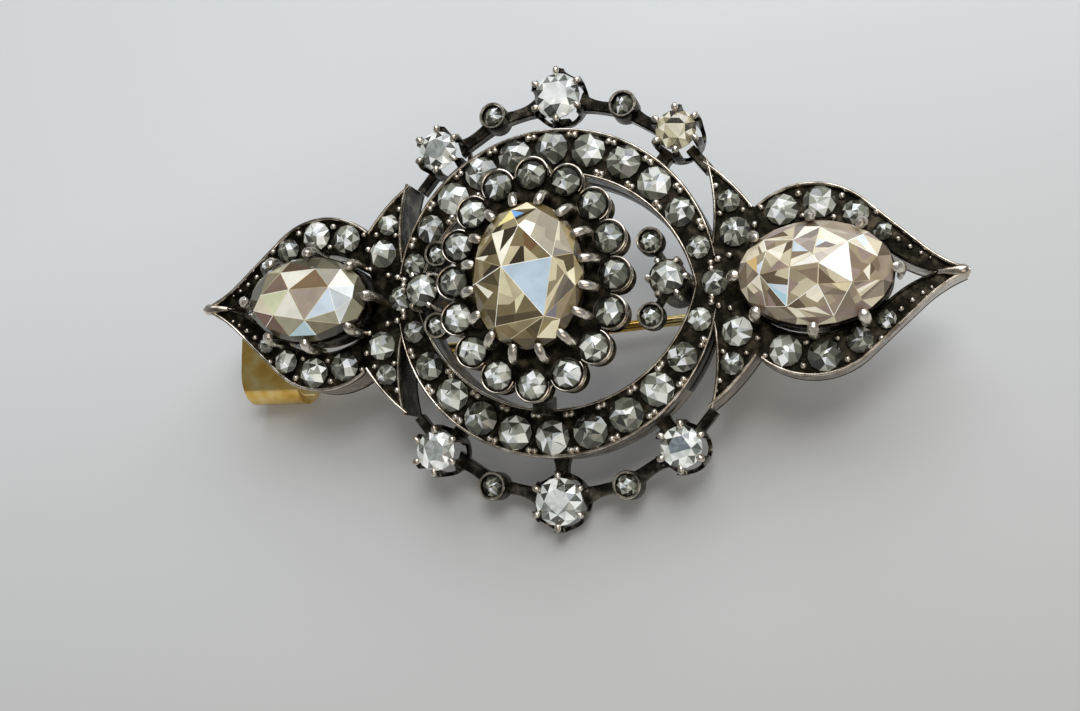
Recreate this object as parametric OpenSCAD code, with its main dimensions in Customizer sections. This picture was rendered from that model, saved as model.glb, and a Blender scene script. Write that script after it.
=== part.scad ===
// Diamond brooch: a ring of stones round a raised oval cluster, with a pointed drop on each side,
// an arc of single stones above and below, and a gold pin, hinge and catch behind.
// Each piece is drawn on its face: x runs from tip to tip, y up the face, and z out of it towards
// the wearer's front. The face of the ring is z = 0. posed() then leans the brooch on its fittings.

/* [Overall] */
// Half of the length, from the middle to a pointed tip
half_span = 27; // [26.5:0.1:27.5]
// Angle by which the face leans back on the fittings, in degrees
lean_deg = 22; // [21:0.5:23]
// Depth of the silver from its face to its back
metal_depth = 3.4; // [3.2:0.1:3.5]
// Depth of the beds in which the small stones lie
bed_depth = 0.35; // [0.25:0.05:0.45]
// Width of the raised edge round each bed
rim_w = 0.22; // [0.18:0.02:0.24]
// Gap between a stone and the metal that it lies on
seat_gap = 0.03; // [0.02:0.01:0.05]

/* [Ring] */
// Outer radius of the ring
ring_r = 11.4; // [11.3:0.1:11.5]
// Half width of the pointed oval opening inside the ring
ring_hole_w = 9.75; // [9.6:0.05:9.8]
// Half height of that opening
ring_hole_h = 8.05; // [7.9:0.05:8.2]
// Angle from one ring stone to the next, in degrees
ring_pitch = 15.3; // [15:0.1:15.5]

/* [Centre] */
// Half width of the centre stone
centre_a = 3.7; // [3.5:0.05:3.75]
// Half height of the centre stone
centre_b = 4.75; // [4.5:0.05:4.8]
// Height of the centre stone's seat above the ring's face
centre_seat = 5.3; // [5:0.1:5.6]
// Number of small stones round the centre stone
cluster_count = 16; // [16]
// Half width of the oval on which the cluster stones lie
cluster_a = 5.4; // [5.35:0.05:5.5]
// Half height of that oval
cluster_b = 6.9; // [6.85:0.05:7]
// Radius of one cluster stone
cluster_stone_r = 0.9; // [0.8:0.05:0.92]
// Radius of the scallop round a cluster stone
scallop_r = 1.12; // [1.1:0.01:1.14]
// Height of the scalloped plate's raised edges above the ring's face
cluster_top = 4.75; // [4.6:0.05:4.9]
// Thickness of the scalloped plate
cluster_thick = 1.75; // [1.6:0.05:1.8]

/* [Side drops] */
// Distance of the side stones from the middle
side_x = 17.6; // [17.5:0.1:17.7]
// Half length of the right side stone
right_a = 4.8; // [4.6:0.05:4.85]
// Half width of the right side stone
right_b = 3.35; // [3.2:0.05:3.4]
// Half length of the left side stone
left_a = 4.5; // [4.4:0.05:4.6]
// Half width of the left side stone
left_b = 3.05; // [3:0.05:3.2]
// Height of the side stones' seats above the ring's face
side_seat = 0.95; // [0.8:0.05:1.1]
// Level of the drops' faces, below the ring's face
drop_face = -0.4; // [-0.5:0.05:-0.3]

/* [Arcs] */
// Lowest level of the raised collets in the arcs
arc_foot = -3.6; // [-3.7:0.05:-3.5]
// Height of the middle collet's centre above the middle of the face
arc_top_y = 14.3; // [14.2:0.05:14.4]
// Radius of the middle stone of an arc
arc_mid_stone_r = 1.65; // [1.5:0.05:1.7]
// Radius of the two end stones of an arc
arc_end_stone_r = 1.4; // [1.3:0.05:1.45]
// Radius of the small tube settings in the arcs
arc_tube_r = 1; // [0.95:0.05:1.05]

/* [Trefoils] */
// Distance of the middle stone of a trefoil from the middle of the face
trefoil_x = 8.43; // [8.4:0.01:8.45]
// Radius of that stone
trefoil_mid_r = 1.1; // [1:0.05:1.15]
// Radius of the two small tube settings of a trefoil
trefoil_tube_r = 0.9; // [0.85:0.05:0.92]

/* [Back fittings] */
// Thickness of the gold sheet of the catch
catch_t = 0.44; // [0.4:0.02:0.5]
// Width of the catch along the brooch
catch_w = 4.5; // [4:0.1:4.6]
// Distance from the middle to the catch's outer edge
catch_x = 25.5; // [25.3:0.1:25.6]
// Distance from the middle to the hinge's axis
hinge_x = 12.2; // [12:0.1:12.4]
// Outer radius of the hinge's barrel
barrel_r = 1.15; // [1.1:0.05:1.2]
// Length of the hinge's barrel
barrel_len = 3.4; // [3.2:0.1:3.6]
// Radius of the rivet through the barrel
rivet_r = 0.38; // [0.34:0.02:0.4]
// Tilt of the hinge's axis, by which the stem rises out of the catch's mouth, in degrees
hinge_tilt = 15; // [14:0.5:16]
// Radius of the pin's stem
stem_r = 0.4; // [0.36:0.02:0.42]

/* [Hidden] */

silver = [0.42, 0.41, 0.38];
gold = [0.86, 0.66, 0.3];
grey_diamond = [0.8, 0.82, 0.82];
champagne = [0.84, 0.77, 0.66];

smooth = 64;
small_smooth = 32;
merge = 0.4;
above = 3;
oval_step = 5;
back_level = -metal_depth;
bed_level = -bed_depth;

// Cut stones: depth below the girdle, height of the girdle, and widths as parts of the stone's own
rose_low = 0.12;
rose_girdle = 0.08;
rose_rise = 0.62;
rose_foot = 0.94;
rose_table = 0.3;
deep_low = 0.58;
deep_girdle = 0.1;
deep_rise = 0.36;
deep_foot = 0.2;
deep_table = 0.56;
large_low = 0.3;
large_girdle = 0.25;
large_foot = 0.95;
centre_rise = 1.75;
centre_table = 0.22;
side_rise = 1.5;
side_table = 0.24;

// Ring: the opening is where two circles cross, so it narrows to a point at each side
ring_hole_c = (ring_hole_w * ring_hole_w - ring_hole_h * ring_hole_h) / (2 * ring_hole_h);
ring_hole_r = ring_hole_h + ring_hole_c;
// Columns: steps from the middle stone, distance from the ring's middle, stone radius
ring_stone_table = [[0, 10, 1.14], [1, 10, 1.14], [2, 10, 1.14], [3, 10, 1.12], [4, 10.13, 0.97],
    [5, 10.35, 0.76]];

// Wings and drops, for the right upper quarter
leaf_tip = [10.6, 8.25];
leaf_inner_foot = [10.7, 1.5];
leaf_inner_pull = [11.5, 5.2];
leaf_outer_pull = [12.3, 7];
wing_end = [13.75, 4.95];
drop_mid = [17.3, 1.2];
drop_r = 5.2;
drop_arc_start = 131;
drop_arc_end = 47;
drop_line_end = [24.1, 2];
drop_tip_pull = [25.4, 0.75];
tip_half_w = 0.12;
drop_hole_mid = 17.4;
drop_hole_a = 4.45;
drop_hole_b = 3.6;
drop_hole_pull = [19.8, 3.5];
drop_hole_side = [22.2, 1.45];
drop_hole_tip_pull = [23.6, 0.3];
drop_hole_tip = [25, 0];
// Columns: x, y, stone radius
wing_stone_table = [[12.5, 3.3, 0.97], [12.12, 5.4, 0.74]];
junction_stone = [11.1, 0, 0.85];
drop_stone_table = [[15.53, 4.66, 1.01], [17.95, 5.02, 1.03], [20.2, 4.13, 0.82], [21.85, 2.85, 0.6]];
// Angles of the claws round a side stone, from the pointed tip
side_claw_angles = [0, 54, 92, 138, 180, 222, 268, 306];
claw_r = 0.28;
claw_off = 0.31;
gallery_lip = 0.1;
gallery_wall = 0.6;
gallery_foot = -1.6;
side_claw_foot = gallery_foot + 0.2;
side_claw_top = side_seat + 1;
bridge_w = 1.6;
bridge_grip = 0.6;
bridge_start = 0.3;
bridge_top = drop_face - bed_depth - 0.05;

// Arcs. Columns: x, y, level of the girdle
arc_mid = [0, arc_top_y, -1.8];
arc_tube = [4.75, 13.2, -1.75];
arc_end = [8.6, 10.75, -0.8];
collet_claws = 6;
collet_lip = 0.3;
collet_top_lip = 0.5;
collet_seat = 0.27;
claw_rise = 0.35;
claw_gap = 0.38;
window_r = 0.5;
window_drop = 0.68;
tube_wall = 0.22;
tube_room = 0.05;
tube_seat = arc_tube[2] - 0.2;
tube_lip = 0.45;
tube_grip = 0.5;
bar_w = 0.8;
bar_low = -3.4;
bar_high = -2.5;

// Raised setting of the centre stone. Pairs give the amounts across and up the face
centre_ledge = [0.5, 0.55];
centre_gallery_inset = [0.8, 0.9];
centre_gallery_depth = 1.8;
centre_claw_r = 0.26;
centre_claw_low = 0.8;
centre_claw_high = 0.95;
cluster_recess = 0.3;
cluster_bore = 0.06;
leg_start = 0.4;
leg_len = 1.4;

// Trefoils
trefoil_small = [7.33, 2.45];
trefoil_seat = 2.3;
trefoil_tube_out = 1.25;
trefoil_tube_in = 0.8;
trefoil_claw_r = 0.2;
trefoil_claw_off = 0.23;
trefoil_claw_low = 0.8;
trefoil_claw_high = 0.6;
trefoil_foot = gallery_foot - 1;
trefoil_foot_top = -0.6;
trefoil_foot_w = 1;
trefoil_side_low = 1.5;
trefoil_side_seat = trefoil_seat - 0.05;
trefoil_bar_w = 0.5;
trefoil_bar_low = 1.6;
trefoil_bar_high = 2.2;

// The table plane under the leaning brooch, as a distance from the middle of the face
foot_plane = -((arc_top_y + arc_mid_stone_r + collet_lip) * sin(lean_deg) - arc_foot * cos(lean_deg));
face_lift = -foot_plane;
face_shift = (arc_mid[2] + claw_rise) * sin(lean_deg) / 2 + arc_foot * sin(lean_deg) / 2
    + (collet_top_lip - collet_lip) * cos(lean_deg) / 2;

// Catch: a strip bent to a hook, drawn in the plane of y and z. Its back lies on the table plane
catch_bend_y = -4.4;
catch_seat = back_level - seat_gap - catch_t / 2;
catch_bend_r = (-foot_plane - catch_t / 2 + catch_bend_y * sin(lean_deg) + catch_seat * cos(lean_deg))
    / (1 + cos(lean_deg));
catch_bend_z = catch_seat - catch_bend_r;
catch_upper_y = -1.35;
catch_lip_len = 1.1;

// Hinge: the lower corner of its barrel lies on the table plane
hinge_y = -0.9;
hinge_z = (foot_plane + barrel_len / 2 * sin(hinge_tilt + lean_deg) + barrel_r * cos(hinge_tilt + lean_deg)
    - hinge_y * sin(lean_deg)) / cos(lean_deg);
hinge_plate_t = 0.9;
hinge_plate_size = [3.2, 4.6];
knuckle_len = 1.06;
knuckle_gap = 0.06;
rivet_gap = 0.02;
pivot_gap = 0.04;
stem_at_catch = [-23.25, -3.87, -6.3];
// The stem: a root that thins from the knuckle, an even round length, a slow taper and a point
stem_root_r = 0.5;
stem_root_start = 0.75;
stem_round_x = 10.2;
stem_taper_x = -20;
stem_point_x = -23;
stem_point_r = 0.34;
stem_end_x = -25.9;
stem_end_r = 0.06;
cheek_w = 1.5;
cheek_low = 0.3;
hinge_plate_rise = 0.6;

// Points along a curve that starts at a, is pulled towards b and ends at c
function curve(a, b, c, steps) =
    [for (i = [0:steps]) let (t = i / steps) (1 - t) * (1 - t) * a + 2 * t * (1 - t) * b + t * t * c];

// Points along a circle's arc
function arc(mid, r, start, stop, steps) =
    [for (i = [0:steps]) let (t = start + (stop - start) * i / steps) mid + r * [cos(t), sin(t)]];

// Points round an oval
function oval(mid, a, b, steps) =
    [for (i = [0:steps - 1]) let (t = 360 * i / steps) mid + [a * cos(t), b * sin(t)]];

// The lower half of an outline that is the same above and below the middle line
function mirrored(points) = [for (i = [len(points) - 1:-1:0]) [points[i][0], -points[i][1]]];

function unit(v) = v / norm(v);

// An outline that runs clockwise, drawn in by a width along each point's own normal
function drawn_in(points, w) =
    [for (i = [0:len(points) - 1])
        let (n = len(points))
        let (before = unit(points[i] - points[(i + n - 1) % n]))
        let (after = unit(points[(i + 1) % n] - points[i]))
        let (along = unit(before + after))
        let (stretch = max(0.4, along * before))
        points[i] + w / stretch * [along[1], -along[0]]];

// The outline of a bed inside an outline that is the same above and below the middle line
function bed_outline(points) =
    let (inner = drawn_in(points, rim_w))
    let (upper = [for (i = [0:len(inner) / 2 - 1]) if (inner[i][1] > rim_w) inner[i]])
    concat(upper, mirrored(upper));

// Length of an oval's edge from its right end up to an angle, measured in short straight steps
function oval_length(a, b, angle) = angle <= 0 ? 0 :
    norm([a * (cos(angle) - cos(angle - oval_step)), b * (sin(angle) - sin(angle - oval_step))])
    + oval_length(a, b, angle - oval_step);

// The first whole step at which a part of an oval's edge has been passed
function oval_angle(a, b, part, guess = 0) =
    oval_length(a, b, guess) >= part * oval_length(a, b, 360) ? guess :
    oval_angle(a, b, part, guess + oval_step);

// The angle at which exactly that part of the edge has been passed
function even_angle(a, b, part) =
    let (high = oval_angle(a, b, part))
    let (total = oval_length(a, b, 360))
    let (over = oval_length(a, b, high) - part * total)
    let (last = oval_length(a, b, high) - oval_length(a, b, high - oval_step))
    high <= 0 ? 0 : high - oval_step * over / last;

// The angles of the cluster's stones, and of the claws between them
cluster_angles = [for (i = [0:cluster_count - 1]) even_angle(cluster_a, cluster_b, i / cluster_count)];
claw_angles = [for (i = [0:cluster_count - 1]) even_angle(cluster_a, cluster_b, (i + 0.5) / cluster_count)];

wing_quarter = concat(
    curve(leaf_inner_foot, leaf_inner_pull, leaf_tip, 6),
    [for (p = curve(leaf_tip, leaf_outer_pull, wing_end, 5)) if (p != leaf_tip) p]);
drop_quarter = concat(
    arc(drop_mid, drop_r, drop_arc_start, drop_arc_end, 8),
    curve(drop_line_end, drop_tip_pull, [half_span, tip_half_w], 5));
side_quarter = concat(wing_quarter, drop_quarter);
drop_hole_quarter = concat(
    [for (i = [0:6]) let (t = 180 - 90 * i / 6)
        [drop_hole_mid + drop_hole_a * cos(t), drop_hole_b * sin(t)]],
    [for (i = [1:5]) curve([drop_hole_mid, drop_hole_b], drop_hole_pull, drop_hole_side, 5)[i]],
    [for (i = [1:4]) curve(drop_hole_side, drop_hole_tip_pull, drop_hole_tip, 4)[i]]);
side_outline = concat(side_quarter, mirrored(side_quarter));
side_bed = bed_outline(side_outline);
drop_hole = concat(drop_hole_quarter,
    [for (i = [len(drop_hole_quarter) - 2:-1:1]) [drop_hole_quarter[i][0], -drop_hole_quarter[i][1]]]);

// Puts a piece drawn on the face into its resting place, leaning on the table plane
module posed() {
    translate([0, face_shift, face_lift]) rotate([lean_deg, 0, 0]) children();
}

module left_and_right() {
    children();
    mirror([1, 0, 0]) children();
}

module above_and_below() {
    children();
    mirror([0, 1, 0]) children();
}

// A prism between two levels
module slab(low, high) {
    translate([0, 0, low]) linear_extrude(height = high - low) children();
}

// A cylinder between two levels
module post(x, y, r, low, high) {
    translate([x, y, low]) cylinder(r = r, h = high - low, $fn = small_smooth);
}

// A straight bar between two points of the face, that starts and ends a little way along
module bar(from, to, skip_from, skip_to, w, low, high) {
    length = norm(to - from);
    translate([from[0], from[1], low]) rotate([0, 0, atan2(to[1] - from[1], to[0] - from[0])])
        translate([skip_from, -w / 2, 0]) cube([length - skip_from - skip_to, w, high - low]);
}

// A cut stone with a flat table, six main facets, eighteen side facets and a small girdle.
// base is the level of its underside, low the depth below the girdle, foot the underside's width
module cut_stone(x, y, a, b, base, low, girdle, crown, foot, table) {
    sides = 12;
    half = sides / 2;
    mid_w = (1 + table) / 2 + 0.12;
    rows = concat(
        [for (i = [0:sides - 1]) let (t = 360 * i / sides) [a * foot * cos(t), b * foot * sin(t), base]],
        [for (i = [0:sides - 1]) let (t = 360 * i / sides) [a * cos(t), b * sin(t), base + low]],
        [for (i = [0:sides - 1]) let (t = 360 * i / sides) [a * cos(t), b * sin(t), base + low + girdle]],
        [for (i = [0:half - 1]) let (t = 720 * (i + 0.5) / sides)
            [a * mid_w * cos(t), b * mid_w * sin(t), base + low + girdle + crown * 0.55]],
        [for (i = [0:half - 1]) let (t = 720 * (i + 0.5) / sides)
            [a * table * cos(t), b * table * sin(t), base + low + girdle + crown]]);
    third = 2 * sides;
    fourth = 3 * sides;
    fifth = fourth + half;
    faces = concat(
        [[for (i = [0:sides - 1]) i]],
        [for (i = [0:sides - 1]) [i, sides + i, sides + (i + 1) % sides, (i + 1) % sides]],
        [for (i = [0:sides - 1]) [sides + i, third + i, third + (i + 1) % sides, sides + (i + 1) % sides]],
        [for (i = [0:half - 1]) [third + 2 * i, fourth + i, third + 2 * i + 1]],
        [for (i = [0:half - 1]) [third + 2 * i + 1, fourth + i, third + (2 * i + 2) % sides]],
        [for (i = [0:half - 1]) [third + (2 * i + 2) % sides, fourth + i, fourth + (i + 1) % half]],
        [for (i = [0:half - 1]) [fourth + i, fifth + i, fifth + (i + 1) % half, fourth + (i + 1) % half]],
        [[for (i = [half - 1:-1:0]) fifth + i]]);
    translate([x, y, 0]) polyhedron(points = rows, faces = faces);
}

// A small rose-cut stone, flat underneath
module rose_stone(x, y, r, base) {
    cut_stone(x, y, r, r, base, rose_low, rose_girdle, rose_rise * r + rose_girdle, rose_foot, rose_table);
}

// A round stone cut deep below its girdle. level is the height of the girdle
module deep_stone(x, y, r, level) {
    cut_stone(x, y, r, r, level - deep_low * r, deep_low * r, deep_girdle, deep_rise * r, deep_foot,
        deep_table);
}

// A collet that widens up to its stone, cut down to claws, with an arched window below each gap.
// level is the height of the stone's girdle
module claw_collet(x, y, r, level) {
    top = level + claw_rise;
    gap = r * claw_gap;
    sill = window_drop - collet_seat;
    window = concat(arc([0, 0], window_r, 180, 360, 8),
        [[window_r, sill], [gap, sill], [gap, above], [-gap, above], [-gap, sill], [-window_r, sill]]);
    translate([x, y, 0]) difference() {
        translate([0, 0, arc_foot])
            cylinder(r1 = r + collet_lip, r2 = r + collet_top_lip, h = top - arc_foot, $fn = small_smooth);
        post(0, 0, r - collet_lip, arc_foot - 1, top + 1);
        post(0, 0, r + seat_gap, level - collet_seat, top + 1);
        for (i = [0:collet_claws / 2 - 1])
            translate([0, 0, level - window_drop]) rotate([0, 0, 360 * i / collet_claws])
                rotate([90, 0, 90]) translate([0, 0, -above]) linear_extrude(height = 2 * above)
                    polygon(window);
    }
}

// A short tube, closed below, with a lip that stands round its stone
module tube_setting(x, y, r, low, seat, lip) {
    difference() {
        post(x, y, r, low, seat + lip);
        post(x, y, r - tube_wall, seat, seat + lip + 1);
    }
}

module ring_hole(grow) {
    intersection() {
        translate([0, -ring_hole_c]) circle(r = ring_hole_r + grow, $fn = smooth);
        translate([0, ring_hole_c]) circle(r = ring_hole_r + grow, $fn = smooth);
    }
}

// The solid left by the openings, drawn on the face
module whole_outline() {
    difference() {
        union() {
            circle(r = ring_r, $fn = smooth);
            left_and_right() polygon(side_outline);
        }
        ring_hole(0);
        left_and_right() polygon(drop_hole);
    }
}

// The bed of a side piece, drawn on the face
module side_bed_outline() {
    difference() {
        polygon(side_bed);
        polygon(drawn_in(drop_hole, -rim_w));
    }
}

module ring_and_sides() {
    difference() {
        slab(back_level, 0) whole_outline();
        slab(bed_level, above) union() {
            difference() {
                circle(r = ring_r - rim_w, $fn = smooth);
                ring_hole(rim_w);
            }
            left_and_right() side_bed_outline();
        }
        left_and_right() translate([wing_end[0], -ring_r, drop_face]) cube([ring_r * 2, ring_r * 2, above]);
        left_and_right() slab(drop_face - bed_depth, above) intersection() {
            side_bed_outline();
            translate([wing_end[0], -ring_r]) square(ring_r * 2);
        }
    }
}

module arcs() {
    above_and_below() {
        claw_collet(arc_mid[0], arc_mid[1], arc_mid_stone_r, arc_mid[2]);
        bar([0, arc_mid[1]], [0, ring_r], arc_mid_stone_r, -merge, bar_w, bar_low, bar_high);
        left_and_right() {
            claw_collet(arc_end[0], arc_end[1], arc_end_stone_r, arc_end[2]);
            tube_setting(arc_tube[0], arc_tube[1], arc_tube_r, bar_low, tube_seat, tube_lip);
            bar([arc_tube[0], arc_tube[1]], [0, arc_mid[1]], tube_grip, arc_mid_stone_r, bar_w, bar_low,
                bar_high);
            bar([arc_tube[0], arc_tube[1]], [arc_end[0], arc_end[1]], tube_grip, arc_end_stone_r, bar_w,
                bar_low, bar_high);
            bar([arc_end[0], arc_end[1]], [0, 0], arc_end_stone_r, ring_r - merge, bar_w, bar_low, bar_high);
            bar([arc_end[0], arc_end[1]], leaf_tip, arc_end_stone_r, -merge, bar_w, bar_low, bar_high);
        }
    }
}

module trefoil() {
    difference() {
        union() {
            post(trefoil_x, 0, trefoil_tube_out, trefoil_foot, trefoil_seat);
            bar([trefoil_x, 0], [ring_hole_w + merge, 0], tube_grip, 0, trefoil_foot_w, trefoil_foot,
                trefoil_foot_top);
            above_and_below()
                bar(trefoil_small, [trefoil_x, 0], merge, tube_grip, trefoil_bar_w, trefoil_bar_low,
                    trefoil_bar_high);
        }
        post(trefoil_x, 0, trefoil_tube_in, back_level, trefoil_seat + 1);
    }
    for (i = [0:collet_claws - 1])
        let (t = 360 * i / collet_claws)
        let (reach = trefoil_mid_r + trefoil_claw_off)
        post(trefoil_x + reach * cos(t), reach * sin(t), trefoil_claw_r, trefoil_seat - trefoil_claw_low,
            trefoil_seat + trefoil_claw_high);
    above_and_below()
        tube_setting(trefoil_small[0], trefoil_small[1], trefoil_tube_r, trefoil_side_low, trefoil_side_seat,
            tube_lip);
}

// The oval wall and claws that hold a side stone of half length a and half width b
module side_gallery(a, b) {
    slab(gallery_foot, side_seat) difference() {
        polygon(oval([side_x, 0], a + gallery_lip, b + gallery_lip, 40));
        polygon(oval([side_x, 0], a + gallery_lip - gallery_wall, b + gallery_lip - gallery_wall, 40));
    }
    bar([side_x - a, 0], [drop_hole_mid - drop_hole_a, 0], -bridge_start, -bridge_grip, bridge_w,
        gallery_foot, bridge_top);
    for (t = side_claw_angles)
        post(side_x + (a + claw_off) * cos(t), (b + claw_off) * sin(t), claw_r, side_claw_foot,
            side_claw_top);
}

module silver_frame() {
    color(silver) posed() union() {
        ring_and_sides();
        arcs();
        left_and_right() trefoil();
        side_gallery(right_a, right_b);
        mirror([1, 0, 0]) side_gallery(left_a, left_b);
    }
}

// The raised setting of the centre stone: a scalloped plate, an oval wall below and claws above
module centre_setting() {
    plate_low = cluster_top - cluster_thick;
    color(silver) posed() {
        difference() {
            union() {
                slab(plate_low, cluster_top) union() {
                    polygon(oval([0, 0], cluster_a, cluster_b, 48));
                    for (t = cluster_angles)
                        translate([cluster_a * cos(t), cluster_b * sin(t)])
                            circle(r = scallop_r, $fn = small_smooth);
                }
                slab(plate_low, centre_seat)
                    polygon(oval([0, 0], centre_a + gallery_lip, centre_b + gallery_lip, 48));
                slab(plate_low - centre_gallery_depth, plate_low + merge)
                    polygon(oval([0, 0], cluster_a - centre_gallery_inset[0],
                        cluster_b - centre_gallery_inset[1], 48));
                above_and_below() translate([-bar_w / 2, cluster_b + leg_start, seat_gap])
                    cube([bar_w, leg_len, plate_low + merge]);
            }
            slab(-1, centre_seat + 1)
                polygon(oval([0, 0], centre_a - centre_ledge[0], centre_b - centre_ledge[1], 48));
            for (t = cluster_angles)
                post(cluster_a * cos(t), cluster_b * sin(t), cluster_stone_r + cluster_bore,
                    cluster_top - cluster_recess, cluster_top + 1);
        }
        for (t = claw_angles)
            post((centre_a + claw_off) * cos(t), (centre_b + claw_off) * sin(t), centre_claw_r,
                cluster_top - centre_claw_low, centre_seat + centre_claw_high);
    }
}

module centre_stone() {
    color(champagne) posed()
        cut_stone(0, 0, centre_a, centre_b, centre_seat + seat_gap, large_low, large_girdle, centre_rise,
            large_foot, centre_table);
}

module side_stone(side, a, b) {
    color(champagne) posed()
        cut_stone(side * side_x, 0, a, b, side_seat + seat_gap, large_low, large_girdle, side_rise,
            large_foot, side_table);
}

// The stones of an arc. up is 1 for the top arc and -1 for the bottom one, side is 1 at the right
module arc_mid_stone(up) {
    color(grey_diamond) posed() deep_stone(0, up * arc_mid[1], arc_mid_stone_r, arc_mid[2]);
}

module arc_tube_stone(side, up) {
    color(grey_diamond) posed()
        rose_stone(side * arc_tube[0], up * arc_tube[1], arc_tube_r - tube_wall - tube_room,
            tube_seat + seat_gap);
}

module arc_end_stone(side, up) {
    color(grey_diamond) posed() deep_stone(side * arc_end[0], up * arc_end[1], arc_end_stone_r, arc_end[2]);
}

module trefoil_mid_stone(side) {
    color(grey_diamond) posed() rose_stone(side * trefoil_x, 0, trefoil_mid_r, trefoil_seat + seat_gap);
}

module trefoil_small_stone(side, up) {
    color(grey_diamond) posed()
        rose_stone(side * trefoil_small[0], up * trefoil_small[1], trefoil_tube_r - tube_wall - tube_room,
            trefoil_side_seat + seat_gap);
}

module cluster_stones() {
    color(grey_diamond) posed()
        for (t = cluster_angles)
            rose_stone(cluster_a * cos(t), cluster_b * sin(t), cluster_stone_r,
                cluster_top - cluster_recess + seat_gap);
}

module ring_stones(up) {
    color(grey_diamond) posed()
        for (side = [-1, 1])
            for (row = ring_stone_table)
                if (row[0] > 0 || side > 0)
                    let (t = 90 - side * ring_pitch * row[0])
                    rose_stone(row[1] * cos(t), up * row[1] * sin(t), row[2], bed_level + seat_gap);
}

module wing_stones(side) {
    color(grey_diamond) posed() {
        rose_stone(side * junction_stone[0], 0, junction_stone[2], bed_level + seat_gap);
        for (up = [-1, 1])
            for (row = wing_stone_table)
                rose_stone(side * row[0], up * row[1], row[2], bed_level + seat_gap);
    }
}

module drop_stones(side) {
    color(grey_diamond) posed()
        for (up = [-1, 1])
            for (row = drop_stone_table)
                rose_stone(side * row[0], up * row[1], row[2], drop_face - bed_depth + seat_gap);
}

// The strip of the catch, as an outline of its edge: along the back, round the bend and up the lip
function catch_side(off) = concat(
    [[catch_upper_y, catch_seat + off]],
    arc([catch_bend_y, catch_bend_z], catch_bend_r + off, 90, 270 - lean_deg, 14),
    [[catch_bend_y, catch_bend_z] - (catch_bend_r + off) * [sin(lean_deg), cos(lean_deg)]
        + catch_lip_len * [cos(lean_deg), -sin(lean_deg)]]);

module catch() {
    inner = catch_side(-catch_t / 2);
    color(gold) posed()
        translate([-catch_x, 0, 0]) rotate([90, 0, 90]) linear_extrude(height = catch_w)
            polygon(concat(catch_side(catch_t / 2), [for (i = [len(inner) - 1:-1:0]) inner[i]]));
}

// Puts a piece drawn round the hinge's own axis, along y, into its place on the face
module at_hinge() {
    translate([hinge_x, hinge_y, hinge_z]) rotate([hinge_tilt, 0, 0]) children();
}

// A cylinder round the hinge's axis from one place along it to another
module on_axis(r, from, to) {
    translate([0, from, 0]) rotate([-90, 0, 0]) cylinder(r = r, h = to - from, $fn = small_smooth);
}

module hinge_plate() {
    lug = (barrel_len - knuckle_len) / 2 - knuckle_gap;
    plate_low = back_level - seat_gap - hinge_plate_t;
    color(gold) posed() union() {
        translate([hinge_x - hinge_plate_size[0] / 2,
            hinge_y + hinge_plate_rise - hinge_plate_size[1] / 2, plate_low])
            cube([hinge_plate_size[0], hinge_plate_size[1], hinge_plate_t]);
        for (start = [-barrel_len / 2, barrel_len / 2 - lug])
            difference() {
                union() {
                    at_hinge() on_axis(barrel_r, start, start + lug);
                    at_hinge() translate([-cheek_w / 2, start, cheek_low])
                        cube([cheek_w, lug, plate_low - hinge_z - cheek_low + hinge_plate_t / 2]);
                }
                at_hinge() on_axis(rivet_r + rivet_gap, start - 1, start + lug + 1);
            }
    }
}

module hinge_rivet() {
    color(gold) posed() at_hinge() on_axis(rivet_r, -barrel_len / 2, barrel_len / 2);
}

module pin_stem() {
    start = [hinge_x, hinge_y, hinge_z];
    along = unit(stem_at_catch - start);
    places = [for (x = [stem_round_x, stem_taper_x, stem_point_x, stem_end_x]) (x - hinge_x) / along[0]];
    color(gold) posed() difference() {
        union() {
            at_hinge() on_axis(barrel_r - 0.05, -knuckle_len / 2, knuckle_len / 2);
            translate(start) rotate([0, acos(along[2]), atan2(along[1], along[0])])
                rotate_extrude($fn = small_smooth)
                    polygon([[0, stem_root_start], [stem_root_r, stem_root_start], [stem_r, places[0]],
                        [stem_r, places[1]], [stem_point_r, places[2]], [stem_end_r, places[3]],
                        [0, places[3]]]);
        }
        at_hinge() on_axis(rivet_r + pivot_gap, -barrel_len, barrel_len);
    }
}

silver_frame();
centre_setting();
hinge_plate();
hinge_rivet();
catch();
pin_stem();
centre_stone();
side_stone(-1, left_a, left_b);  // left_side_stone
side_stone(1, right_a, right_b);  // right_side_stone
arc_end_stone(-1, 1);  // top_arc_stone_1
arc_tube_stone(-1, 1);  // top_arc_stone_2
arc_mid_stone(1);  // top_arc_stone_3
arc_tube_stone(1, 1);  // top_arc_stone_4
arc_end_stone(1, 1);  // top_arc_stone_5
arc_end_stone(-1, -1);  // bottom_arc_stone_1
arc_tube_stone(-1, -1);  // bottom_arc_stone_2
arc_mid_stone(-1);  // bottom_arc_stone_3
arc_tube_stone(1, -1);  // bottom_arc_stone_4
arc_end_stone(1, -1);  // bottom_arc_stone_5
trefoil_small_stone(-1, 1);  // left_trefoil_stone_upper
trefoil_mid_stone(-1);  // left_trefoil_stone_middle
trefoil_small_stone(-1, -1);  // left_trefoil_stone_lower
trefoil_small_stone(1, 1);  // right_trefoil_stone_upper
trefoil_mid_stone(1);  // right_trefoil_stone_middle
trefoil_small_stone(1, -1);  // right_trefoil_stone_lower
cluster_stones();
ring_stones(1);  // upper_ring_stones
ring_stones(-1);  // lower_ring_stones
wing_stones(-1);  // left_wing_stones
wing_stones(1);  // right_wing_stones
drop_stones(-1);  // left_drop_stones
drop_stones(1);  // right_drop_stones
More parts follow.
